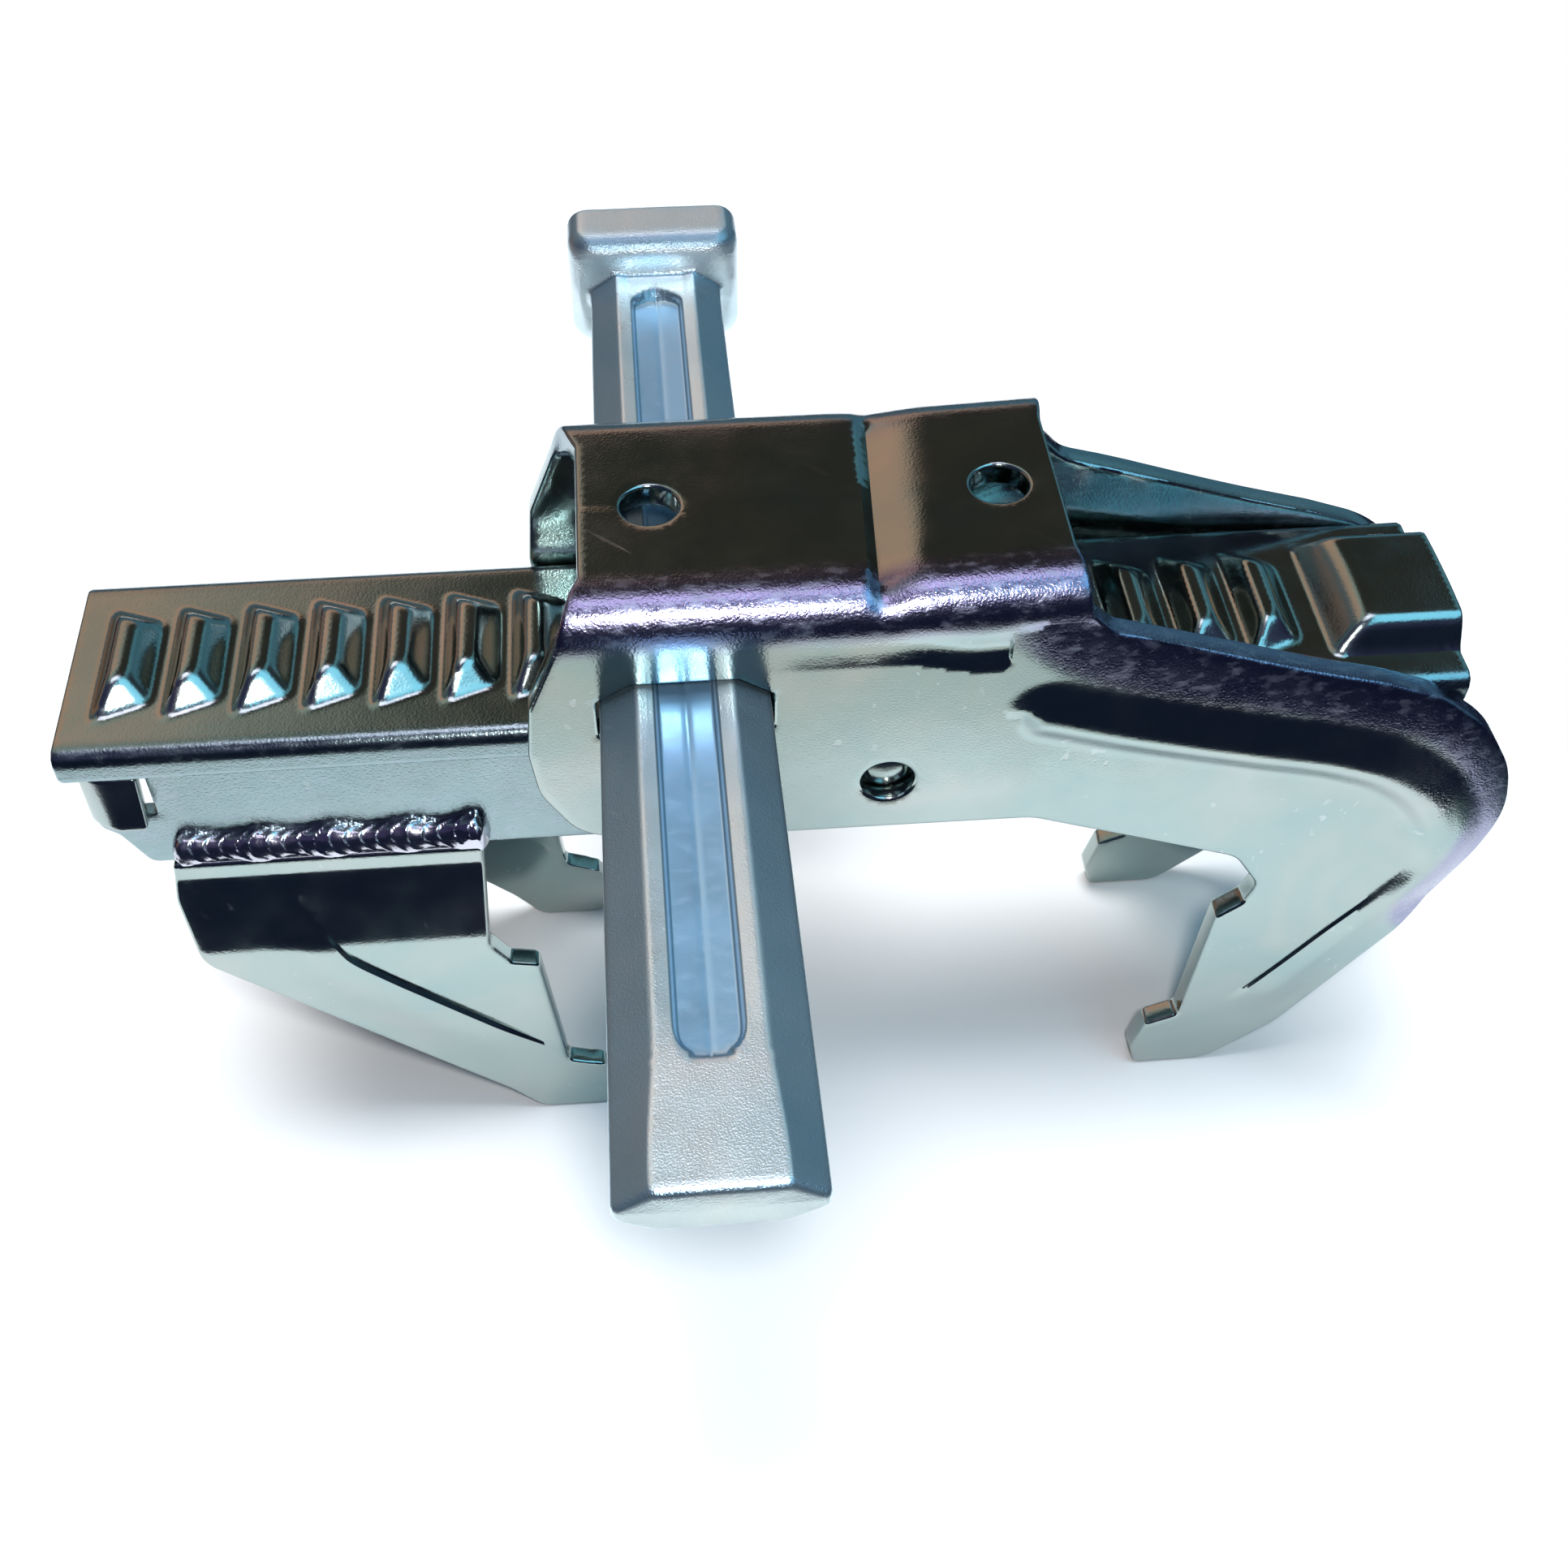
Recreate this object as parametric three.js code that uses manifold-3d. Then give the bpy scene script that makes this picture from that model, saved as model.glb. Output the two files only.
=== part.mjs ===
// Formwork alignment coupler: a toothed rail with two welded jaws, a U-shaped slider with two
// claws that travels along it, and a captive cross wedge that locks the slider to the rail teeth.
// Millimetres. +X runs along the rail from the fixed jaws to the claws, +Y towards the wedge head,
// +Z up. While the pieces are drawn, z = 0 is the flat top of the rail and y = 0 its middle plane.
import * as THREE from 'three';
import * as BufferGeometryUtils from 'three/addons/utils/BufferGeometryUtils.js';
import Module from 'manifold-3d';

const wasm = await Module();
wasm.setup();

// ---- Driving dimensions --------------------------------------------------------------------

const TOUCH_GAP = 0.3;          // between pieces that are welded or rest on each other
const CUT_OVER = 1;             // how far a cutter runs past the face that it opens

const RAIL_LENGTH = 320;
const RAIL_LEFT = -153;         // left end of the rail
const CAP_WIDTH = 56.6;
const CAP_SHEET = 3;
const CAP_LIP = 8.2;            // the folded side lips reach this far below the flat top
const CAP_BEND = 3.2;
const CHANNEL_SHEET = 4;
const CHANNEL_BOTTOM = -41;
const CHANNEL_SETBACK = 3.5;    // the channel ends this far inside the cap at both ends
const CHANNEL_CORNER = 11;      // the lower corners of the channel's flanges start this high
const CHANNEL_CORNER_RUN = 6;   // and run this far along the rail
const CHANNEL_BEND = 5;

const RIDGE_PITCH = 15.5;
const RIDGE_COUNT = 18;
const FIRST_RIDGE = 7.5;        // left foot of the first ridge, from the rail's left end
const RIDGE_FOOT = 12.4;
const RIDGE_HEIGHT = 5.6;
const RIDGE_LONG = 36;          // foot length on the shallow left side
const RIDGE_SHORT = 26;         // foot length on the steep right side
const RIDGE_CREST = 21;
const CREST_START = 3.4;        // the crest lies between these, from the ridge's left foot
const CREST_END = 7.6;
const PAD_LENGTH = 30.5;
const PAD_WIDTH = 38;
const PAD_HEIGHT = 8;
const PAD_SLOPE = 4.5;

const LUG_LENGTH = 12.5;
const LUG_TOP = -9.5;
const LUG_HEIGHT = 14;
const LUG_BULGE = 5.4;
const LUG_RUN = 5;              // the lug reaches its full bulge this far from the channel's end
const LUG_WINDOW_GAP = 1.2;     // the sheared opening runs on past the lug's right end

const JAW_SHEET = 5;
const JAW_JOGGLE = 5.7;         // sideways step between the welded strip and the jaw plate
const JAW_TOP = -36.6;
const JAW_STRIP_BOTTOM = -42;
const JAW_SLOPE_BOTTOM = -66;
const JAW_BEAD_WIDTH = 11;
const JAW_BEAD_HEIGHT = 1.8;
const JAW_BEAD_INSET = 4;       // from the jaw's lower edge to the near side of the bead

const FOOT_LEVEL = -144;        // the four claw tips end on this level
const HOOK_TOP = -77;           // upper and lower ledge of the rebate that grips a frame
const HOOK_BOTTOM = -121;

const SLIDER_SHEET = 6;
const SLIDE_GAP = 0.9;          // between the cap's sides and the slider's cheeks
const SLIDER_BEND = 9.6;
const WEB_TOP = 39.6;
const WEB_LEFT = -35.2;
const WEB_RIGHT = 70.4;
const CREASE_X = 29.5;
const CREASE_HALF = 28;
const CREASE_DEPTH = 2.4;
const WEB_RISE = THREE.MathUtils.degToRad(2.6);
const WEB_HOLE = 6.4;
const WEB_HOLES_X = [-19.2, 57.4];
const CHEEK_BOTTOM = -32.4;
const ARM_BEAD_WIDTH = 13;
const ARM_BEAD_HEIGHT = 2.4;
const ARM_BEAD_INSET = 6.4;     // from the arm's outer edge to the near side of the bead

const STUD_X = 31.4;
const STUD_Z = -16;
const STUD_RADIUS = 5.8;
const STUD_RECESS = 2.6;        // the stud's outer end lies this far inside the cheek's face

const WEDGE_X = -14;            // the wedge's centre line
const WEDGE_FRONT = -155;
const WEDGE_SHANK_BACK = 124;
const WEDGE_HEIGHT = 13;
const WEDGE_RIDE = 0.4;         // clear height between the ridge crests and the wedge
const WEDGE_HALF_AT_CHEEK = 18.5;
const WEDGE_TAPER = 0.0072;     // half width gained for each millimetre towards the front
const WEDGE_CHAMFER = 7.5;
const WEDGE_CHAMFER_DROP = 4.9;
const GROOVE_HALF = 5.4;
const GROOVE_DEPTH = 3.2;
const GROOVE_FRONT = -126;
const GROOVE_END = 5;
const HEAD_FRONT = 118.4;
const HEAD_LENGTH = 19.2;
const HEAD_WIDTH = 45.6;
const HEAD_HEIGHT = 33;
const HEAD_DRAFT = 7;           // the head's faces lean back towards its upper and lower edges
const HEAD_CORNER = 5;
const SLOT_SIDE_GAP = 0.6;      // slot to wedge, each side, where the wedge crosses the cheek
const SLOT_TOP_GAP = 0.6;
const SLOT_DROP = 6;            // room below the wedge, so that its ribs can sink between ridges

const ARC_STEPS = 5;

// ---- Shape helpers ---------------------------------------------------------------------------

const AXES_XZ = new THREE.Matrix4().makeBasis(
  new THREE.Vector3(1, 0, 0), new THREE.Vector3(0, 0, 1), new THREE.Vector3(0, -1, 0));
const AXES_YZ = new THREE.Matrix4().makeBasis(
  new THREE.Vector3(0, 1, 0), new THREE.Vector3(0, 0, 1), new THREE.Vector3(1, 0, 0));

function solid(geometry) {
  const bare = geometry.index ? geometry.clone() : geometry;
  bare.deleteAttribute('normal');
  bare.deleteAttribute('uv');
  const merged = BufferGeometryUtils.mergeVertices(bare, 1e-4);
  const mesh = new wasm.Mesh({
    numProp: 3,
    vertProperties: new Float32Array(merged.attributes.position.array),
    triVerts: new Uint32Array(merged.index.array),
  });
  return new wasm.Manifold(mesh);
}

function toGeometry(body) {
  const mesh = body.getMesh();
  const geometry = new THREE.BufferGeometry();
  geometry.setAttribute('position', new THREE.BufferAttribute(new Float32Array(mesh.vertProperties), 3));
  geometry.setIndex(new THREE.BufferAttribute(new Uint32Array(mesh.triVerts), 1));
  geometry.computeVertexNormals();
  return geometry;
}

// Corners are [a, b] or [a, b, radius]; a radius turns the corner into an arc.
function rounded(corners) {
  const outline = [];
  corners.forEach((corner, i) => {
    const here = new THREE.Vector2(corner[0], corner[1]);
    const radius = corner[2] ?? 0;
    if (radius === 0) {
      outline.push(here);
      return;
    }
    const before = corners[(i + corners.length - 1) % corners.length];
    const after = corners[(i + 1) % corners.length];
    const toBefore = new THREE.Vector2(before[0], before[1]).sub(here).normalize();
    const toAfter = new THREE.Vector2(after[0], after[1]).sub(here).normalize();
    const halfAngle = Math.acos(THREE.MathUtils.clamp(toBefore.dot(toAfter), -1, 1)) / 2;
    const centre = toBefore.clone().add(toAfter).normalize().multiplyScalar(radius / Math.sin(halfAngle));
    centre.add(here);
    const reach = radius / Math.tan(halfAngle);
    const first = toBefore.clone().multiplyScalar(reach).add(here).sub(centre);
    const last = toAfter.clone().multiplyScalar(reach).add(here).sub(centre);
    const turn = Math.atan2(first.cross(last), first.dot(last));
    for (let k = 0; k <= ARC_STEPS; k += 1) {
      outline.push(first.clone().rotateAround(new THREE.Vector2(), turn * k / ARC_STEPS).add(centre));
    }
  });
  return outline;
}

function extruded(outline, depth) {
  return new THREE.ExtrudeGeometry(new THREE.Shape(outline), { depth, bevelEnabled: false });
}

// A side outline drawn in (x, z), filled from y = near to y = far.
function plateXZ(outline, near, far) {
  return solid(extruded(outline, far - near).applyMatrix4(AXES_XZ).translate(0, far, 0));
}

// A cross-section drawn in (y, z), run from x = left to x = right.
function beamYZ(outline, left, right) {
  return solid(extruded(outline, right - left).applyMatrix4(AXES_YZ).translate(left, 0, 0));
}

// A plan drawn in (x, y), filled from z = low to z = high.
function plateXY(outline, low, high) {
  return solid(extruded(outline, high - low).translate(0, 0, low));
}

// A closed skin over rings that all have the same number of points.
function skin(rings) {
  const count = rings[0].length;
  const positions = rings.flat().flatMap((point) => [point.x, point.y, point.z]);
  const index = [];
  for (let r = 0; r + 1 < rings.length; r += 1) {
    for (let i = 0; i < count; i += 1) {
      const a = r * count + i;
      const b = r * count + (i + 1) % count;
      index.push(a, b, b + count, a, b + count, a + count);
    }
  }
  const flat = rings[0].map((point) => new THREE.Vector2(point.x, point.z));
  const capped = THREE.ShapeUtils.triangulateShape(flat, []);
  const lastRing = (rings.length - 1) * count;
  capped.forEach(([a, b, c]) => {
    index.push(a, c, b);
    index.push(lastRing + a, lastRing + b, lastRing + c);
  });
  const geometry = new THREE.BufferGeometry();
  geometry.setAttribute('position', new THREE.Float32BufferAttribute(positions, 3));
  geometry.setIndex(index);
  return solid(geometry);
}

// The outline of a strip of even width along a line of points, with round ends.
function strip(points, width) {
  const left = [];
  const right = [];
  const ends = [[], []];
  points.forEach((point, i) => {
    const ahead = points[Math.min(i + 1, points.length - 1)];
    const behind = points[Math.max(i - 1, 0)];
    const along = ahead.clone().sub(behind).normalize();
    const across = new THREE.Vector2(-along.y, along.x).multiplyScalar(width / 2);
    left.push(point.clone().add(across));
    right.push(point.clone().sub(across));
    if (i === 0 || i === points.length - 1) {
      const side = i === 0 ? 0 : 1;
      for (let k = 1; k < ARC_STEPS; k += 1) {
        const swing = (side === 0 ? 1 : -1) * Math.PI * k / ARC_STEPS;
        ends[side].push(across.clone().rotateAround(new THREE.Vector2(), swing).add(point));
      }
    }
  });
  return [...left, ...ends[1], ...right.reverse(), ...ends[0].reverse()];
}

// Points of a line set in from a row of corners, with its own corner arcs.
function insetLine(corners, inset) {
  const line = corners.map((corner) => new THREE.Vector2(corner[0], corner[1]));
  return line.map((point, i) => {
    const ahead = line[Math.min(i + 1, line.length - 1)];
    const behind = line[Math.max(i - 1, 0)];
    const along = ahead.clone().sub(behind).normalize();
    return new THREE.Vector2(along.y, -along.x).multiplyScalar(inset).add(point);
  });
}

function mirroredY(body) {
  const geometry = toGeometry(body);
  geometry.scale(1, -1, 1);
  const order = geometry.index.array;
  for (let i = 0; i < order.length; i += 3) {
    [order[i + 1], order[i + 2]] = [order[i + 2], order[i + 1]];
  }
  return solid(geometry);
}

const model = new THREE.Group();
model.name = 'alignment_coupler';

function addPiece(name, body, color, roughness) {
  const material = new THREE.MeshStandardMaterial({ color, metalness: 0.95, roughness });
  const mesh = new THREE.Mesh(toGeometry(body), material);
  mesh.name = name;
  model.add(mesh);
}

// ---- Rail ------------------------------------------------------------------------------------

const RAIL_RIGHT = RAIL_LEFT + RAIL_LENGTH;
const CAP_HALF = CAP_WIDTH / 2;
const CHANNEL_HALF = CAP_HALF - CAP_SHEET - TOUCH_GAP;
const SLIDER_INNER = CAP_HALF + SLIDE_GAP;
const SLIDER_OUTER = SLIDER_INNER + SLIDER_SHEET;

// An upside-down U in (y, z): flat top, two sides, open below.
function channelSection(half, top, bottom, sheet, bend) {
  const innerBend = Math.max(bend - sheet, 0.6);
  return rounded([
    [-half, bottom],
    [-half + sheet, bottom],
    [-half + sheet, top - sheet, innerBend],
    [half - sheet, top - sheet, innerBend],
    [half - sheet, bottom],
    [half, bottom],
    [half, top, bend],
    [-half, top, bend],
  ]);
}

// One pressed tooth: a long shallow left side, a shorter steep right side and a narrow crest.
// It is drawn smaller by shrink all round for the hollow on its underside.
function ridge(left, shrink, base, top) {
  const long = RIDGE_LONG / 2 - shrink;
  const short = RIDGE_SHORT / 2 - shrink;
  const crestHalf = RIDGE_CREST / 2 - shrink;
  const [start, end] = [left + shrink, left + RIDGE_FOOT - shrink];
  const [crestStart, crestEnd] = [left + CREST_START + shrink / 2, left + CREST_END - shrink / 2];
  const foot = [[start, -long], [end, -short], [end, short], [start, long]];
  return frustum(foot, rectangle(crestStart, crestEnd, crestHalf), base, top);
}

// A solid between a lower and an upper plan with matching corners.
function frustum(lower, upper, base, top) {
  const count = lower.length;
  const positions = [];
  lower.forEach(([x, y]) => positions.push(x, y, base));
  upper.forEach(([x, y]) => positions.push(x, y, top));
  const index = [];
  for (let i = 0; i < count; i += 1) {
    const next = (i + 1) % count;
    index.push(i, next, next + count, i, next + count, i + count);
  }
  for (let i = 1; i + 1 < count; i += 1) {
    index.push(0, i + 1, i);
    index.push(count, count + i, count + i + 1);
  }
  const geometry = new THREE.BufferGeometry();
  geometry.setAttribute('position', new THREE.Float32BufferAttribute(positions, 3));
  geometry.setIndex(index);
  return solid(geometry);
}

function rectangle(left, right, half) {
  return [[left, -half], [right, -half], [right, half], [left, half]];
}

// Raised pad at the right end; the wedge stops against it.
function endPad(shrink, base, top) {
  const left = RAIL_RIGHT - PAD_LENGTH + shrink;
  const right = RAIL_RIGHT + (shrink > 0 ? CUT_OVER : 0);
  const half = PAD_WIDTH / 2 - shrink;
  return frustum(
    rectangle(left, right, half),
    rectangle(left + PAD_SLOPE, right, half - PAD_SLOPE), base, top);
}

function makeRailCap() {
  let cap = beamYZ(channelSection(CAP_HALF, 0, -CAP_LIP, CAP_SHEET, CAP_BEND), RAIL_LEFT, RAIL_RIGHT);
  const sink = CAP_SHEET / 2;
  const hollow = CAP_SHEET * 0.7;
  for (let i = 0; i < RIDGE_COUNT; i += 1) {
    const left = RAIL_LEFT + FIRST_RIDGE + i * RIDGE_PITCH;
    cap = cap.add(ridge(left, 0, -sink, RIDGE_HEIGHT));
    cap = cap.subtract(ridge(left, hollow, -CAP_SHEET - CUT_OVER, RIDGE_HEIGHT - CAP_SHEET));
  }
  cap = cap.add(endPad(0, -sink, PAD_HEIGHT));
  return cap.subtract(endPad(hollow, -CAP_SHEET - CUT_OVER, PAD_HEIGHT - CAP_SHEET));
}

const CHANNEL_LEFT = RAIL_LEFT + CHANNEL_SETBACK;
const CHANNEL_RIGHT = RAIL_RIGHT - CHANNEL_SETBACK;
const CHANNEL_TOP = -CAP_SHEET - TOUCH_GAP;
const LUG_RIGHT = CHANNEL_LEFT + LUG_LENGTH;

// Lanced stop lug: the flange is sheared on its right side and bulged out; y is the outer side.
function lugPlan(outward) {
  const outside = CHANNEL_HALF;
  const inside = outside - CHANNEL_SHEET;
  const shape = rounded([
    [CHANNEL_LEFT, inside], [CHANNEL_LEFT + LUG_RUN / 2, inside],
    [CHANNEL_LEFT + LUG_RUN * 1.5, inside + LUG_BULGE], [LUG_RIGHT, inside + LUG_BULGE],
    [LUG_RIGHT, outside + LUG_BULGE], [CHANNEL_LEFT + LUG_RUN, outside + LUG_BULGE, LUG_RUN / 3],
    [CHANNEL_LEFT, outside + LUG_BULGE / 5],
  ]);
  return outward > 0 ? shape : shape.map((point) => new THREE.Vector2(point.x, -point.y)).reverse();
}

// Side view of the channel's flanges, with their lower corners cut away.
function flangeOutline() {
  const cornerTop = CHANNEL_BOTTOM + CHANNEL_CORNER;
  const below = CHANNEL_BOTTOM - CUT_OVER;
  const above = CHANNEL_TOP + CUT_OVER;
  const run = CHANNEL_CORNER_RUN;
  return rounded([
    [CHANNEL_LEFT - CUT_OVER, above],
    [CHANNEL_LEFT - CUT_OVER, cornerTop + run / 2],
    [CHANNEL_LEFT, cornerTop + run / 2, run / 2],
    [CHANNEL_LEFT + run / 2, cornerTop, run / 3],
    [CHANNEL_LEFT + run * 1.5, below],
    [CHANNEL_RIGHT - run * 1.5, below],
    [CHANNEL_RIGHT, cornerTop, run / 2],
    [CHANNEL_RIGHT + CUT_OVER, cornerTop],
    [CHANNEL_RIGHT + CUT_OVER, above],
  ]);
}

function makeRailChannel() {
  const section = channelSection(CHANNEL_HALF, CHANNEL_TOP, CHANNEL_BOTTOM, CHANNEL_SHEET, CHANNEL_BEND);
  let channel = beamYZ(section, CHANNEL_LEFT, CHANNEL_RIGHT);
  channel = channel.intersect(plateXZ(flangeOutline(), -CAP_HALF, CAP_HALF));
  const lugBottom = LUG_TOP - LUG_HEIGHT;
  const [windowLeft, windowRight] = [CHANNEL_LEFT + LUG_RUN / 2, LUG_RIGHT + LUG_WINDOW_GAP];
  for (const outward of [-1, 1]) {
    const window = rectangle(windowLeft, windowRight, CHANNEL_SHEET / 2 + CUT_OVER)
      .map(([x, y]) => new THREE.Vector2(x, y + outward * (CHANNEL_HALF - CHANNEL_SHEET / 2)));
    channel = channel.subtract(plateXY(window, lugBottom, LUG_TOP));
    channel = channel.add(plateXY(lugPlan(outward), lugBottom, LUG_TOP));
  }
  return channel;
}

// ---- Fixed jaws ------------------------------------------------------------------------------

const JAW_STRIP_INNER = CHANNEL_HALF + TOUCH_GAP;
const JAW_INNER = JAW_STRIP_INNER + JAW_JOGGLE;
const JAW_OUTER = JAW_INNER + JAW_SHEET;
const JAW_LEFT = -136.3;
const JAW_RIGHT = -63;
const JAW_LOWER_EDGE = [[-134, -68], [-66, -134]];

function jawSection() {
  const strip = JAW_STRIP_INNER;
  const below = FOOT_LEVEL - CUT_OVER;
  return [
    [strip, JAW_TOP], [strip, JAW_STRIP_BOTTOM], [JAW_INNER, JAW_SLOPE_BOTTOM], [JAW_INNER, below],
    [JAW_OUTER, below], [JAW_OUTER, JAW_SLOPE_BOTTOM], [strip + JAW_SHEET, JAW_STRIP_BOTTOM],
    [strip + JAW_SHEET, JAW_TOP],
  ].map(([y, z]) => new THREE.Vector2(y, z));
}

function jawOutline() {
  return rounded([
    [JAW_LEFT + 1.6, JAW_TOP + CUT_OVER],
    [JAW_LEFT, JAW_TOP - 12, 10],
    [JAW_LOWER_EDGE[0][0], JAW_LOWER_EDGE[0][1], 12],
    [JAW_LOWER_EDGE[1][0], JAW_LOWER_EDGE[1][1], 8],
    [-58, FOOT_LEVEL, 6],
    [-39, FOOT_LEVEL, 4],
    [-36.5, HOOK_BOTTOM - 11, 5],
    [-40, HOOK_BOTTOM - 3.6, 2],
    [-49.4, HOOK_BOTTOM, 2.5],
    [-53.2, HOOK_TOP, 2],
    [-60, HOOK_TOP + 1.5, 1.5],
    [-64.6, HOOK_TOP + 9, 3],
    [JAW_RIGHT, JAW_TOP + CUT_OVER],
  ]);
}

function makeFixedJaw() {
  const reach = [JAW_STRIP_INNER - CUT_OVER, JAW_OUTER + CUT_OVER];
  let jaw = beamYZ(jawSection(), JAW_LEFT - CUT_OVER, 0).intersect(plateXZ(jawOutline(), ...reach));
  const [start, end] = JAW_LOWER_EDGE.map(([x, z]) => new THREE.Vector2(x, z));
  const along = end.clone().sub(start).normalize();
  const inset = JAW_BEAD_WIDTH / 2 + JAW_BEAD_INSET;
  const inward = new THREE.Vector2(-along.y, along.x).multiplyScalar(inset);
  const line = [
    start.clone().addScaledVector(along, 24).add(inward),
    end.clone().addScaledVector(along, -2).add(inward),
  ];
  jaw = jaw.add(plateXZ(strip(line, JAW_BEAD_WIDTH), JAW_OUTER - 1, JAW_OUTER + JAW_BEAD_HEIGHT));
  const groove = plateXZ(strip(line, JAW_BEAD_WIDTH - 4), JAW_INNER - 1, JAW_INNER + JAW_BEAD_HEIGHT);
  return jaw.subtract(groove);
}

// Weld bead in the corner between the channel's flange and the jaw's top edge.
function makeJawWeld() {
  const wall = CHANNEL_HALF + TOUCH_GAP;
  const seat = JAW_TOP + TOUCH_GAP;
  const section = [
    [wall, seat], [wall + 4.9, seat], [wall + 4.5, seat + 2.4], [wall + 3, seat + 4.6],
    [wall + 1.2, seat + 5.8], [wall, seat + 6.2],
  ].map(([y, z]) => new THREE.Vector2(y, z));
  return beamYZ(section, JAW_LEFT + 1, JAW_RIGHT + 2);
}

// ---- Slider ----------------------------------------------------------------------------------

const ELBOW_ARC = 34;
const ARM_OUTER_EDGE = [
  [79, 23, 8], [144, 4.2, ELBOW_ARC], [159, -1.4, ELBOW_ARC], [173, -12.6, ELBOW_ARC],
  [183, -28, ELBOW_ARC], [187.2, -44, ELBOW_ARC], [184, -59, ELBOW_ARC], [176.5, -77, ELBOW_ARC],
  [146.5, -127.5, 20],
];

function sliderOutline() {
  return rounded([
    [WEB_LEFT, WEB_TOP + SLIDER_BEND],
    [WEB_LEFT, WEB_TOP - 1],
    [-47.6, 13.6, 6],
    [-49, -1, 12],
    [-47.6, -14, 14],
    [-40, CHEEK_BOTTOM + 4.5, 12],
    [-26, CHEEK_BOTTOM + 0.6, 20],
    [66.6, CHEEK_BOTTOM, 14],
    [116.4, -53, 7],
    [127.2, -65.2, 3],
    [125.4, HOOK_TOP + 6.6, 3],
    [119.6, HOOK_TOP, 1.5],
    [117.4, HOOK_BOTTOM, 2.5],
    [109, HOOK_BOTTOM - 3.6, 2],
    [106.4, FOOT_LEVEL + 8, 3],
    [108.6, FOOT_LEVEL, 2.5],
    [129, FOOT_LEVEL, 10],
    ...ARM_OUTER_EDGE.slice().reverse(),
    [WEB_RIGHT + 2, 30, 5],
    [WEB_RIGHT, WEB_TOP + SLIDER_BEND],
  ]);
}

const SLIDER_SECTION_BOTTOM = FOOT_LEVEL - 25;
const WEB_OVERLAP = (WEB_TOP - FOOT_LEVEL) * Math.sin(WEB_RISE) + CUT_OVER;
const WEDGE_BOTTOM = RIDGE_HEIGHT + WEDGE_RIDE;
const WEDGE_TOP = WEDGE_BOTTOM + WEDGE_HEIGHT;
const WEDGE_MIDDLE = (WEDGE_TOP + WEDGE_BOTTOM) / 2;

function wedgeHalf(y) {
  return WEDGE_HALF_AT_CHEEK - (y + SLIDER_OUTER) * WEDGE_TAPER;
}

function wedgeSlot() {
  const half = wedgeHalf(-SLIDER_OUTER) + SLOT_SIDE_GAP;
  const top = WEDGE_TOP + SLOT_TOP_GAP;
  const bottom = WEDGE_BOTTOM - SLOT_DROP;
  const flat = half - WEDGE_CHAMFER;
  return [
    [-half, bottom + WEDGE_CHAMFER_DROP], [-flat, bottom], [flat, bottom],
    [half, bottom + WEDGE_CHAMFER_DROP], [half, top - WEDGE_CHAMFER_DROP], [flat, top], [-flat, top],
    [-half, top - WEDGE_CHAMFER_DROP],
  ].map(([x, z]) => new THREE.Vector2(WEDGE_X + x, z));
}

function disc(centreX, centreZ, radius) {
  const outline = [];
  const steps = 24;
  for (let k = 0; k < steps; k += 1) {
    const turn = 2 * Math.PI * k / steps;
    outline.push(new THREE.Vector2(centreX + radius * Math.cos(turn), centreZ + radius * Math.sin(turn)));
  }
  return outline;
}

function armBeadLine() {
  const inset = ARM_BEAD_INSET + ARM_BEAD_WIDTH / 2;
  const line = insetLine(ARM_OUTER_EDGE, inset);
  line[0] = new THREE.Vector2(64.5, 14.5);
  const last = line[line.length - 1];
  line[line.length - 1] = last.add(new THREE.Vector2(4, 5.5));
  return new THREE.SplineCurve(line).getPoints(3 * line.length);
}

function makeSlider() {
  const section = channelSection(
    SLIDER_OUTER, WEB_TOP, SLIDER_SECTION_BOTTOM, SLIDER_SHEET, SLIDER_BEND);
  const level = beamYZ(section, WEB_LEFT - 25, CREASE_X);
  const rising = solid(extruded(section, 190).applyMatrix4(AXES_YZ)
    .translate(-WEB_OVERLAP, 0, -WEB_TOP).rotateY(-WEB_RISE).translate(CREASE_X, 0, WEB_TOP));
  const past = SLIDER_OUTER + CUT_OVER;
  let slider = level.add(rising).intersect(plateXZ(sliderOutline(), -past, past));
  slider = slider.subtract(plateXZ(wedgeSlot(), -past, past));
  const crease = [[-6, 1], [0, -CREASE_DEPTH], [4, 1]]
    .map(([x, z]) => new THREE.Vector2(CREASE_X + x, WEB_TOP + z));
  slider = slider.subtract(plateXZ(crease, -CREASE_HALF, CREASE_HALF));
  for (const x of WEB_HOLES_X) {
    slider = slider.subtract(plateXY(disc(x, 0, WEB_HOLE), WEB_TOP - SLIDER_BEND, WEB_TOP + SLIDER_BEND));
  }
  slider = slider.subtract(plateXZ(disc(STUD_X, STUD_Z, STUD_RADIUS + TOUCH_GAP), -past, past));
  const line = armBeadLine();
  const raised = strip(line, ARM_BEAD_WIDTH);
  const grooved = strip(line, ARM_BEAD_WIDTH - 5);
  for (const outward of [-1, 1]) {
    const [a, b] = [outward * (SLIDER_OUTER - 1), outward * (SLIDER_OUTER + ARM_BEAD_HEIGHT)];
    slider = slider.add(plateXZ(raised, Math.min(a, b), Math.max(a, b)));
    const [c, d] = [outward * (SLIDER_INNER - 1), outward * (SLIDER_INNER + ARM_BEAD_HEIGHT)];
    slider = slider.subtract(plateXZ(grooved, Math.min(c, d), Math.max(c, d)));
  }
  return slider;
}

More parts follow.
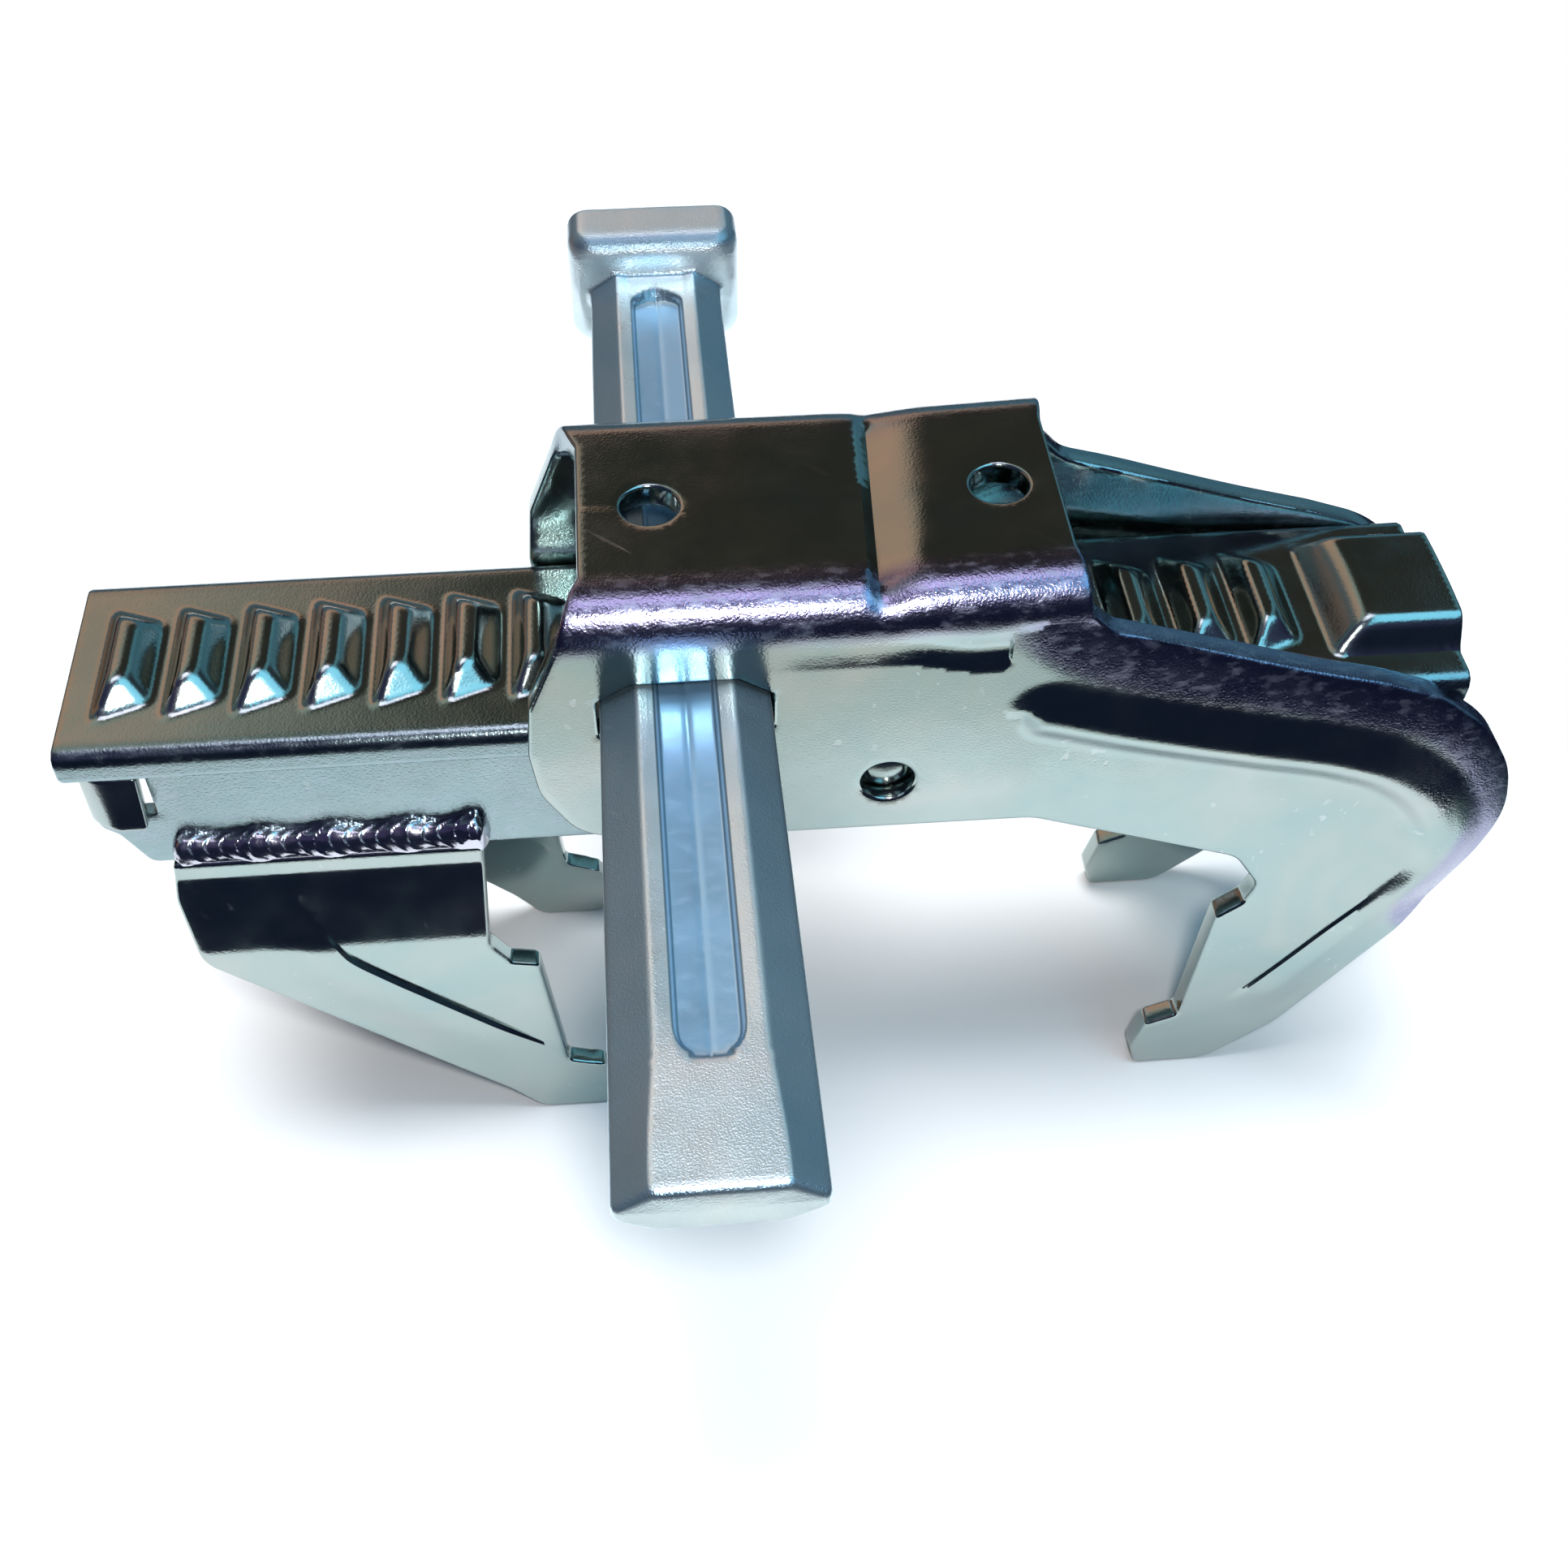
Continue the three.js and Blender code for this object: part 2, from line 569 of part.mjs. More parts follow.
// Stud pressed into the cheek; its inner end lies under the cap's lip and keeps the slider on the rail.
function makeKeeperStud() {
  const inner = CHANNEL_HALF + TOUCH_GAP + 0.6;
  const outer = SLIDER_OUTER - STUD_RECESS;
  const profile = [
    [0, inner], [STUD_RADIUS - 1, inner], [STUD_RADIUS, inner + 1], [STUD_RADIUS, outer - 1.6],
    [STUD_RADIUS - 1.6, outer - 0.4], [0, outer],
  ].map(([r, h]) => new THREE.Vector2(r, h));
  return solid(new THREE.LatheGeometry(profile, 24).translate(STUD_X, 0, STUD_Z));
}

// ---- Wedge -----------------------------------------------------------------------------------

// Cross-section of the shank: an octagon with a groove between two ribs above and below.
function wedgeRing(y, half, squeeze, groove) {
  const flat = half - WEDGE_CHAMFER;
  const top = WEDGE_HEIGHT / 2 - squeeze;
  const shoulder = top - WEDGE_CHAMFER_DROP;
  const upper = [
    [half, shoulder], [flat, top], [GROOVE_HALF, top], [GROOVE_HALF - 2.2, top - groove],
    [0, top - groove - 0.02], [-GROOVE_HALF + 2.2, top - groove], [-GROOVE_HALF, top], [-flat, top],
    [-half, shoulder],
  ];
  const lower = upper.map(([x, z]) => [-x, -z]);
  return [...upper, ...lower]
    .map(([x, z]) => new THREE.Vector3(WEDGE_X + x, y, WEDGE_MIDDLE + z));
}

function makeWedge() {
  const nose = WEDGE_FRONT;
  const shank = skin([
    wedgeRing(WEDGE_SHANK_BACK, wedgeHalf(WEDGE_SHANK_BACK), 0, GROOVE_DEPTH),
    wedgeRing(GROOVE_FRONT + GROOVE_END, wedgeHalf(GROOVE_FRONT + GROOVE_END), 0, GROOVE_DEPTH),
    wedgeRing(GROOVE_FRONT + 1, wedgeHalf(GROOVE_FRONT), 0, GROOVE_DEPTH * 0.6),
    wedgeRing(GROOVE_FRONT, wedgeHalf(GROOVE_FRONT), 0, 0.02),
    wedgeRing(nose + 2, wedgeHalf(nose), 0.2, 0.02),
    wedgeRing(nose, wedgeHalf(nose) - 1.2, 1.2, 0.02),
  ]);
  const halfWidth = HEAD_WIDTH / 2;
  const halfHeight = HEAD_HEIGHT / 2;
  const face = (inset) => rounded([
    [-halfWidth + inset, -halfHeight + inset, HEAD_CORNER],
    [halfWidth - inset, -halfHeight + inset, HEAD_CORNER],
    [halfWidth - inset, halfHeight - inset, HEAD_CORNER],
    [-halfWidth + inset, halfHeight - inset, HEAD_CORNER],
  ]);
  const ringAt = (y, inset) => face(inset)
    .map((point) => new THREE.Vector3(WEDGE_X + point.x, y, WEDGE_MIDDLE + point.y));
  const back = HEAD_FRONT + HEAD_LENGTH;
  const head = skin([
    ringAt(back, 2.6), ringAt(back - 2, 0.6), ringAt(back - 6, 0),
    ringAt(HEAD_FRONT + HEAD_DRAFT, 0.4), ringAt(HEAD_FRONT + 2, 3.4), ringAt(HEAD_FRONT, 5.6),
  ]);
  return shank.add(head);
}

// ---- Assembly --------------------------------------------------------------------------------

const jaw = makeFixedJaw();
const weld = makeJawWeld();
const stud = makeKeeperStud();

addPiece('rail_cap', makeRailCap(), 0x8f9aa0, 0.22);
addPiece('rail_channel', makeRailChannel(), 0xb4bfbd, 0.3);
addPiece('fixed_jaw_front', mirroredY(jaw), 0xaab5b4, 0.24);
addPiece('fixed_jaw_rear', jaw, 0xaab5b4, 0.24);
addPiece('jaw_weld_front', mirroredY(weld), 0x5d6270, 0.3);
addPiece('jaw_weld_rear', weld, 0x5d6270, 0.3);
addPiece('slider_body', makeSlider(), 0xb2bcbc, 0.22);
addPiece('keeper_stud_front', mirroredY(stud), 0xc4d3da, 0.2);
addPiece('keeper_stud_rear', stud, 0xc4d3da, 0.2);
addPiece('wedge', makeWedge(), 0x7d97a6, 0.42);

// The part stands on its four claw tips: the origin is the middle of its footprint on that level.
const box = new THREE.Box3().setFromObject(model);
const middle = box.getCenter(new THREE.Vector3());
model.position.set(-middle.x, -middle.y, -box.min.z);

export default model;
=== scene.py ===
"""Formwork alignment coupler: zinc-plated rail, jaws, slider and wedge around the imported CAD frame.

Shapes are drawn in millimetres from the CAD's own datum: x along the rail, y = 0 in its middle
plane and z = 0 on its flat top. Each pressed part is laid out flat, cut, embossed, folded and
thickened, so that its edges and reliefs are real geometry.
"""
import math

import bpy
import numpy as np
from mathutils import Matrix, Vector, noise
from mathutils.geometry import delaunay_2d_cdt


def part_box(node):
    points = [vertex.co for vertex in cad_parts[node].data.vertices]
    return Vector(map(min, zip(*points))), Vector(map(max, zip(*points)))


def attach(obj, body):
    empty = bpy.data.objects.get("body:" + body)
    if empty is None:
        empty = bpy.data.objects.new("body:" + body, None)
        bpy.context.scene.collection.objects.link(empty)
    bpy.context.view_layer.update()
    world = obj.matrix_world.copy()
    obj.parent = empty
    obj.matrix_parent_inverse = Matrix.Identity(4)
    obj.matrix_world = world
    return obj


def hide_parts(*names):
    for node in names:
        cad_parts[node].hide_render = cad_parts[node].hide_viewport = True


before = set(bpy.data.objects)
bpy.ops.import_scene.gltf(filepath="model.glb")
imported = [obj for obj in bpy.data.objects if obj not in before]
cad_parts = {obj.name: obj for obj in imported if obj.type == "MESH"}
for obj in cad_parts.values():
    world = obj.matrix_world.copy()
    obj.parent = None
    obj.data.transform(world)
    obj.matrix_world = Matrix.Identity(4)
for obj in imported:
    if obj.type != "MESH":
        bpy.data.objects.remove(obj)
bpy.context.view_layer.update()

# ---- Sizes, in millimetres, as in the CAD model ----------------------------------------------

RAIL_LEFT, RAIL_RIGHT = -153.0, 167.0
CAP_HALF, CAP_SHEET, CAP_LIP, CAP_BEND = 28.3, 3.0, 8.2, 3.2
CHANNEL_HALF, CHANNEL_SHEET, CHANNEL_BEND = 25.0, 4.0, 5.0
CHANNEL_TOP, CHANNEL_BOTTOM, CHANNEL_SETBACK = -3.3, -41.0, 3.5
LUG_LENGTH, LUG_TOP, LUG_BOTTOM, LUG_BULGE = 12.5, -9.5, -23.5, 5.4

RIDGE_PITCH, RIDGE_COUNT, FIRST_RIDGE = 15.5, 18, 7.5
RIDGE_FOOT, RIDGE_HEIGHT, CREST_START, CREST_END = 12.4, 5.6, 3.4, 7.6
RIDGE_LONG, RIDGE_SHORT, RIDGE_CREST = 18.0, 13.0, 10.5
PAD_LENGTH, PAD_HALF, PAD_HEIGHT, PAD_SLOPE = 30.5, 19.0, 8.0, 4.5

JAW_SHEET, JAW_INNER_TOP, JAW_JOGGLE = 5.0, 25.3, 5.7
JAW_TOP, JAW_STRIP_BOTTOM, JAW_SLOPE_BOTTOM = -36.6, -42.0, -66.0
JAW_LEFT, JAW_RIGHT = -136.3, -63.0
FOOT, HOOK_TOP, HOOK_BOTTOM = -144.0, -77.0, -121.0

SLIDER_OUTER, SLIDER_SHEET, SLIDER_BEND = 35.2, 6.0, 9.6
WEB_TOP, WEB_LEFT, WEB_RIGHT = 39.6, -35.2, 70.4
CREASE_X, WEB_RISE = 29.5, math.radians(2.6)
WEB_HOLE, WEB_HOLES_X = 6.4, (-19.2, 57.4)
CHEEK_BOTTOM = -32.4
STUD_X, STUD_Z, STUD_RADIUS = 31.4, -16.0, 5.8

WEDGE_X, WEDGE_FRONT, WEDGE_BACK = -14.0, -155.0, 137.6
WEDGE_MIDDLE, WEDGE_HALF_HEIGHT = 12.5, 6.5
WEDGE_HALF_AT_CHEEK, WEDGE_TAPER = 18.5, 0.0072
HEAD_HALF_WIDTH, HEAD_HALF_HEIGHT = 22.8, 16.5

MM = 0.001
cap_low, cap_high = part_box("rail_cap")
DATUM = np.array([
    cap_low[0] - RAIL_LEFT * MM,
    (cap_low[1] + cap_high[1]) / 2,
    cap_low[2] + CAP_LIP * MM,
])


# ---- Numbers and outlines --------------------------------------------------------------------

def smooth(value, low, high):
    """0 below low, 1 above high, and an even S-curve between them."""
    t = np.clip((value - low) / (high - low), 0.0, 1.0)
    return t * t * (3.0 - 2.0 * t)


def soft_min(a, b, width):
    """The lower of two values, with a rounded change from one to the other."""
    mix = np.clip(0.5 + 0.5 * (b - a) / width, 0.0, 1.0)
    return b * (1.0 - mix) + a * mix - width * mix * (1.0 - mix)


def soft_floor(value, width):
    """The value where it is above zero, and a rounded approach to zero where it isn't."""
    return -soft_min(-value, np.zeros_like(value), width)


def waviness(points, size, amount, seed):
    """Unevenness of about the amount, with bumps of about the size."""
    shift = Vector((seed * 13.7, seed * 5.1, seed * 9.3))
    return np.array([amount * noise.noise(Vector(p) / size + shift) for p in points])


def rounded(corners, step):
    """Closed outline through (a, b, radius) corners, with arcs and evenly split straights."""
    rough = []
    count = len(corners)
    for i, (a, b, *rest) in enumerate(corners):
        here = np.array([a, b], float)
        radius = rest[0] if rest else 0.0
        if radius <= 0.0:
            rough.append(here)
            continue
        back = np.array(corners[i - 1][:2], float) - here
        ahead = np.array(corners[(i + 1) % count][:2], float) - here
        back /= np.linalg.norm(back)
        ahead /= np.linalg.norm(ahead)
        half = math.acos(np.clip(back @ ahead, -1.0, 1.0)) / 2
        middle = back + ahead
        centre = here + middle / np.linalg.norm(middle) * radius / math.sin(half)
        first = here + back * radius / math.tan(half) - centre
        last = here + ahead * radius / math.tan(half) - centre
        turn = math.atan2(first[0] * last[1] - first[1] * last[0], first @ last)
        steps = max(3, int(abs(turn) / math.radians(9)), int(abs(turn) * radius / step))
        for k in range(steps + 1):
            angle = turn * k / steps
            c, s = math.cos(angle), math.sin(angle)
            spoke = [c * first[0] - s * first[1], s * first[0] + c * first[1]]
            rough.append(centre + np.array(spoke))
    outline = []
    for start, end in zip(rough, rough[1:] + rough[:1]):
        length = np.linalg.norm(end - start)
        if length < 1e-6:
            continue
        pieces = max(1, int(math.ceil(length / step)))
        outline.extend(start + (end - start) * k / pieces for k in range(pieces))
    return np.array(outline)


def circle(a, b, radius, count=40):
    """Closed outline of a round hole."""
    turns = np.arange(count) * 2 * math.pi / count
    return np.stack([a + radius * np.cos(turns), b + radius * np.sin(turns)], 1)


def turned(loop, counter_clockwise):
    """The loop in the asked direction."""
    x, y = loop.T
    area = np.sum(x * np.roll(y, -1) - y * np.roll(x, -1))
    return loop if (area > 0) == counter_clockwise else loop[::-1]


def smooth_line(corners, count=60):
    """Points along a smooth curve (cubic Hermite) through a few corners."""
    corners = np.array(corners, float)
    lengths = np.r_[0, np.cumsum(np.linalg.norm(np.diff(corners, axis=0), axis=1))]
    slopes = np.gradient(corners, lengths, axis=0)
    at = np.linspace(0, lengths[-1], count)
    span = np.clip(np.searchsorted(lengths, at, side="right") - 1, 0, len(corners) - 2)
    width = (lengths[span + 1] - lengths[span])[:, None]
    t = ((at - lengths[span])[:, None]) / width
    h00, h10 = 2 * t**3 - 3 * t**2 + 1, t**3 - 2 * t**2 + t
    h01, h11 = -2 * t**3 + 3 * t**2, t**3 - t**2
    return (h00 * corners[span] + h10 * width * slopes[span]
            + h01 * corners[span + 1] + h11 * width * slopes[span + 1])


def from_line(points, line):
    """Distance to a line, its side (+1 is the line's left) and the share of its length passed."""
    best = np.full(len(points), 1e9)
    side = np.ones(len(points))
    share = np.zeros(len(points))
    lengths = np.r_[0, np.cumsum(np.linalg.norm(np.diff(line, axis=0), axis=1))]
    for start, end, passed in zip(line[:-1], line[1:], lengths):
        run = end - start
        t = np.clip(((points - start) @ run) / (run @ run), 0.0, 1.0)
        away = points - (start + t[:, None] * run)
        distance = np.linalg.norm(away, axis=1)
        nearer = distance < best
        best[nearer] = distance[nearer]
        turn = run[0] * away[:, 1] - run[1] * away[:, 0]
        side[nearer] = np.sign(turn[nearer])
        share[nearer] = ((passed + t * np.linalg.norm(run)) / lengths[-1])[nearer]
    return best, side, share


def beside(line, distance):
    """The line moved to its left by a distance."""
    along = np.gradient(line, axis=0)
    along /= np.linalg.norm(along, axis=1)[:, None]
    return line + np.stack([-along[:, 1], along[:, 0]], 1) * distance


def inside(points, loops):
    """Even-odd test of points against closed loops."""
    found = np.zeros(len(points), bool)
    px, py = points.T
    for loop in loops:
        for (ax, ay), (bx, by) in zip(loop, np.roll(loop, -1, axis=0)):
            if ay == by:
                continue
            crosses = (ay > py) != (by > py)
            found ^= crosses & (px < (bx - ax) * (py - ay) / (by - ay) + ax)
    return found


# ---- Making meshes ---------------------------------------------------------------------------

def piece_from(name, points, faces, crease_angle=40.0, tone=None):
    """A mesh object from millimetre points in the CAD's datum, with smooth rounded shading."""
    mesh = bpy.data.meshes.new(name)
    mesh.from_pydata((np.asarray(points) * MM + DATUM).tolist(), [], faces)
    if tone is not None:
        mesh.attributes.new("tone", "FLOAT", "POINT").data.foreach_set("value", tone)
    mesh.validate()
    mesh.update()
    mesh.polygons.foreach_set("use_smooth", [True] * len(mesh.polygons))
    mesh.set_sharp_from_angle(angle=math.radians(crease_angle))
    piece = bpy.data.objects.new(name, mesh)
    bpy.context.collection.objects.link(piece)
    return piece


def flat_grid(loops, pitch, creases):
    """Points of a triangular grid that lie well inside the loops and clear of the creases."""
    low = loops[0].min(axis=0)
    high = loops[0].max(axis=0)
    rows = np.arange(low[1], high[1], pitch * 0.866)
    grid = []
    for k, row in enumerate(rows):
        across = np.arange(low[0] + (k % 2) * pitch / 2, high[0], pitch)
        grid.append(np.stack([across, np.full(len(across), row)], 1))
    grid = np.concatenate(grid)
    grid = grid[inside(grid, loops)]
    keep = gap_to(grid, np.concatenate(loops)) > pitch * 0.6
    if creases:
        keep &= gap_to(grid, np.concatenate(creases)) > pitch * 0.62
    return grid[keep]


def gap_to(points, others):
    """Distance of each point to the nearest of the others."""
    clear = np.full(len(points), 1e9)
    for start in range(0, len(others), 64):
        part = others[start:start + 64]
        gap = np.linalg.norm(points[:, None, :] - part[None, :, :], axis=2).min(axis=1)
        clear = np.minimum(clear, gap)
    return clear


def pressed_sheet(name, outline, holes, fold, relief, thickness, pitch, rim=0.8, mirrored=False,
                  creases=(), tone=None):
    """A cut, embossed and folded sheet with rounded edges.

    The flat layout lies in (a, b); relief gives its height above the sheet's middle, and fold
    turns layout points and heights into (x, y, z). A mirrored sheet is turned over in y. The
    mesh follows the creases, which are open lines of points.
    """
    outer = [turned(outline, True)] + [turned(hole, False) for hole in holes]
    inner = []
    for loop in outer:
        along = np.roll(loop, -1, axis=0) - np.roll(loop, 1, axis=0)
        along /= np.linalg.norm(along, axis=1)[:, None]
        inner.append(loop + np.stack([-along[:, 1], along[:, 0]], 1) * rim)
    ring_points = np.concatenate(inner)
    kept = [line[inside(line, inner) & (gap_to(line, ring_points) > 0.7)] for line in creases]
    kept = [line for line in kept if len(line) > 1]
    rows = flat_grid(inner, pitch, kept)
    given = np.concatenate([ring_points, *kept, rows])
    edges = []
    start = 0
    for loop in inner:
        count = len(loop)
        edges.extend((start + i, start + (i + 1) % count) for i in range(count))
        start += count
    verts, _, triangles, origins, _, _ = delaunay_2d_cdt(
        [Vector(p) for p in given], edges, [], 0, 1e-6, True)
    layout = np.array([tuple(v) for v in verts])
    place = {source: i for i, sources in enumerate(origins) for source in sources}
    triangles = np.array(triangles)
    middles = layout[triangles].mean(axis=1)
    triangles = triangles[inside(middles, inner)]
    height = relief(layout)
    top = fold(layout, height + thickness / 2)
    bottom = fold(layout, height - thickness / 2)
    points = [top, bottom]
    spots = [layout, layout]
    size = len(layout)
    faces = triangles.tolist() + (triangles[:, ::-1] + size).tolist()
    total = 2 * size
    arc_steps = 3
    start = 0
    for loop, shrunk in zip(outer, inner):
        count = len(loop)
        ring_index = np.array([place[start + i] for i in range(count)])
        start += count
        rings = [ring_index]
        for face in (1, -1):
            order = range(1, arc_steps + 1) if face == 1 else range(arc_steps, 0, -1)
            for k in order:
                angle = math.pi / 2 * k / arc_steps
                spot = shrunk + (loop - shrunk) * math.sin(angle)
                level = face * (thickness / 2 - rim + rim * math.cos(angle))
                points.append(fold(spot, relief(spot) + level))
                spots.append(spot)
                rings.append(np.arange(total, total + count))
                total += count
        rings.append(ring_index + size)
        for a, b in zip(rings[:-1], rings[1:]):
            following = np.roll(np.arange(count), -1)
            faces.extend(np.stack([a, b, b[following], a[following]], 1).tolist())
    points = np.concatenate(points)
    if mirrored:
        points = points * np.array([1.0, -1.0, 1.0])
        faces = [face[::-1] for face in faces]
    tones = tone(np.concatenate(spots)) if tone else None
    return piece_from(name, points, faces, tone=tones)


def swept(name, rings, crease_angle=40.0, tone=None):
    """A closed skin over rings with equal point counts; each end closes on its own middle."""
    rings = np.asarray(rings)
    count = rings.shape[1]
    faces = []
    for r in range(len(rings) - 1):
        base = r * count
        for i in range(count):
            j = (i + 1) % count
            faces.append((base + i, base + j, base + count + j, base + count + i))
    points = rings.reshape(-1, 3)
    ends = [rings[0].mean(axis=0), rings[-1].mean(axis=0)]
    first, last = len(points), len(points) + 1
    faces.extend(((i + 1) % count, i, first) for i in range(count))
    base = (len(rings) - 1) * count
    faces.extend((base + i, base + (i + 1) % count, last) for i in range(count))
    if tone is not None:
        tone = np.concatenate([tone, [0.0, 0.0]])
    return piece_from(name, np.concatenate([points, ends]), faces, crease_angle, tone)


def channel_fold(half, top, bend, thickness):
    """Fold of an upside-down U, and the layout distance of a level on its side."""
    radius = bend - thickness / 2
    flat = half - bend
    arc = radius * math.pi / 2

    def section(s):
        side, away = np.where(s < 0, -1.0, 1.0), np.abs(s)
        turn = np.clip((away - flat) / radius, 0.0, math.pi / 2)
        y = np.minimum(away, flat) + radius * np.sin(turn)
        z = top - bend + radius * np.cos(turn) - np.maximum(away - flat - arc, 0.0)
        return side * y, z, side * np.sin(turn), np.cos(turn)

    def reach(z):
        return flat + arc + (top - bend) - z

    return section, reach


def straight_fold(section):
    """Folds a layout by a section that is the same all along x."""
    def fold(layout, offset):
        y, z, ny, nz = section(layout[:, 1])
        return np.column_stack([layout[:, 0], y + ny * offset, z + nz * offset])

    return fold


def finish_piece(piece, body, node, material, joined=False):
    """Gives a piece its material and body and hides the CAD part it replaces; a joined one hides
    none.
    """
    piece.data.materials.append(material)
    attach(piece, body)
    if not joined:
        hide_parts(node)
    return piece


# ---- Materials -------------------------------------------------------------------------------

def ramp(nodes, stops):
    """Colour ramp node with (position, colour) stops."""
    node = nodes.new("ShaderNodeValToRGB")
    elements = node.color_ramp.elements
    while len(elements) > 1:
        elements.remove(elements[-1])
    elements[0].position, elements[0].color = stops[0][0], (*stops[0][1], 1.0)
    for position, color in stops[1:]:
        elements.new(position).color = (*color, 1.0)
    return node


def grey(value):
    return (value, value, value)


PALE = ((0.31, 0.41, 0.405), (0.36, 0.43, 0.41), (0.42, 0.45, 0.43))
COOL = ((0.68, 0.84, 0.90), (0.78, 0.91, 0.95), (0.86, 0.93, 0.95))
DARK = ((0.44, 0.46, 0.54), (0.54, 0.54, 0.60), (0.60, 0.62, 0.68))
# Painted reflection and shade: this violet is put on the slider's front bends in place of their
# highlight's violet fringe, and on the arm's top strip as painted shade.
VIOLET_PAINTED_REFLECTION = (0.27, 0.26, 0.40)
BLUE = (0.40, 0.70, 0.98)
GREY_BLUE = (0.24, 0.33, 0.35)


def plating(name, tints, rough, grain, grain_size, wave, scratch=0.35, toned=VIOLET_PAINTED_REFLECTION, tone_grain=0.8,
            tone_gloss=0.12, metal=1.0, slope_painted_shade=0.0):
    """Bright zinc plating: uneven tint, cloudy gloss, fine crystal grain, hairline scratches.

    Where a piece's "tone" is high, as on its bends, the plating takes the toned colour, a coarser
    grain and bright rubbed patches; on the slider that violet colour is painted reflection and
    painted shade. A piece given a slope shade gets painted shade on its upward sloping faces: a
    dark blue mixed in by how far their normals lean, with upright and level faces left as they are.
    """
    material = bpy.data.materials.new(name)
    material.use_nodes = True
    tree = material.node_tree
    nodes, links = tree.nodes, tree.links
    nodes.clear()
    out = nodes.new("ShaderNodeOutputMaterial")
    shader = nodes.new("ShaderNodeBsdfPrincipled")
    links.new(shader.outputs["BSDF"], out.inputs["Surface"])
    shader.inputs["Metallic"].default_value = metal
    spot = nodes.new("ShaderNodeTexCoord").outputs["Object"]

    def noise_at(scale, detail, stretch=(1, 1, 1), turn=(0, 0, 0), distort=0.0):
        mapping = nodes.new("ShaderNodeMapping")
        mapping.vector_type = "TEXTURE"
        mapping.inputs["Scale"].default_value = stretch
        mapping.inputs["Rotation"].default_value = turn
        links.new(spot, mapping.inputs["Vector"])
        texture = nodes.new("ShaderNodeTexNoise")
        texture.inputs["Scale"].default_value = scale
        texture.inputs["Detail"].default_value = detail
        texture.inputs["Distortion"].default_value = distort
        links.new(mapping.outputs["Vector"], texture.inputs["Vector"])
        return texture.outputs["Fac"]

    def math_node(kind, a, b):
        node = nodes.new("ShaderNodeMath")
        node.operation = kind
        for socket, value in zip(node.inputs, (a, b)):
            if isinstance(value, (int, float)):
                socket.default_value = value
            else:
                links.new(value, socket)
        return node.outputs["Value"]

    clouds = ramp(nodes, [(0.3, tints[0]), (0.5, tints[1]), (0.7, tints[2])])
    links.new(noise_at(28.0, 4.0, distort=0.6), clouds.inputs["Fac"])
    attribute = nodes.new("ShaderNodeAttribute")
    attribute.attribute_name = "tone"
    tone = attribute.outputs["Fac"]
    lines = ramp(nodes, [(0.0, grey(1.0)), (0.30, grey(0.6)), (0.34, grey(0.0)), (1.0, grey(0.0))])
    links.new(noise_at(420.0, 2.0, (17.0, 1.0, 2.0), (0.0, 0.0, -0.75)), lines.inputs["Fac"])
    patches = ramp(nodes, [(0.52, grey(0.0)), (0.66, grey(1.0))])
    links.new(noise_at(34.0, 3.0), patches.inputs["Fac"])
    scratches = math_node("MULTIPLY", lines.outputs["Color"], patches.outputs["Color"])
    scratches = math_node("MULTIPLY", scratches, scratch)

    def mix(factor, first, second):
        node = nodes.new("ShaderNodeMixRGB")
        links.new(factor, node.inputs["Fac"])
        links.new(first, node.inputs["Color1"])
        node.inputs["Color2"].default_value = (*second, 1.0)
        return node.outputs["Color"]

    rubbed = ramp(nodes, [(0.50, grey(0.0)), (0.72, grey(1.0))])
    links.new(noise_at(520.0, 6.0, (2.2, 1.0, 1.0)), rubbed.inputs["Fac"])
    rubs = math_node("MULTIPLY", rubbed.outputs["Color"], tone)
    rubs = math_node("MULTIPLY", rubs, 0.75 * scratch)
    # On the slider the toned violet is painted reflection on the bends and painted shade on the arm
    # strip.
    color = mix(tone, clouds.outputs["Color"], toned)
    color = mix(rubs, color, (0.66, 0.72, 0.84))
    # Painted shade: faces sloping upwards (normal z from about 0.55 to 0.88) are mixed towards a dark
    # blue by the slope shade amount; upright, level and downward faces keep their colour.
    facing = nodes.new("ShaderNodeSeparateXYZ")
    links.new(nodes.new("ShaderNodeNewGeometry").outputs["Normal"], facing.inputs["Vector"])
    painted_shade_ramp = ramp(nodes, [(0.3, grey(0.0)), (0.55, grey(slope_painted_shade)), (0.88, grey(slope_painted_shade)),
                           (0.955, grey(0.0))])
    links.new(facing.outputs["Z"], painted_shade_ramp.inputs["Fac"])
    color = mix(painted_shade_ramp.outputs["Color"], color, (0.04, 0.14, 0.22))
    links.new(mix(scratches, color, (0.86, 0.88, 0.9)), shader.inputs["Base Color"])

    gloss = ramp(nodes, [(0.3, grey(rough[0])), (0.7, grey(rough[1]))])
    links.new(noise_at(95.0, 5.0), gloss.inputs["Fac"])
    worn = math_node("ADD", math_node("MULTIPLY", scratches, 0.4), math_node("MULTIPLY", rubs, 0.6))
    worn = math_node("ADD", worn, math_node("MULTIPLY", tone, tone_gloss))
    links.new(math_node("ADD", gloss.outputs["Color"], worn), shader.inputs["Roughness"])

    fine = nodes.new("ShaderNodeBump")
    fine.inputs["Distance"].default_value = 0.00016
    rise = math_node("ADD", math_node("MULTIPLY", tone, tone_grain), grain)
    links.new(rise, fine.inputs["Strength"])
    links.new(noise_at(grain_size, 2.0), fine.inputs["Height"])
    broad = nodes.new("ShaderNodeBump")
    broad.inputs["Strength"].default_value = wave
    broad.inputs["Distance"].default_value = 0.002
    links.new(noise_at(70.0, 2.0), broad.inputs["Height"])
    links.new(fine.outputs["Normal"], broad.inputs["Normal"])
    cut = nodes.new("ShaderNodeBump")
    cut.invert = True
    cut.inputs["Strength"].default_value = 0.3
    cut.inputs["Distance"].default_value = 0.0002
    links.new(scratches, cut.inputs["Height"])
    links.new(broad.outputs["Normal"], cut.inputs["Normal"])
    links.new(cut.outputs["Normal"], shader.inputs["Normal"])
    return material


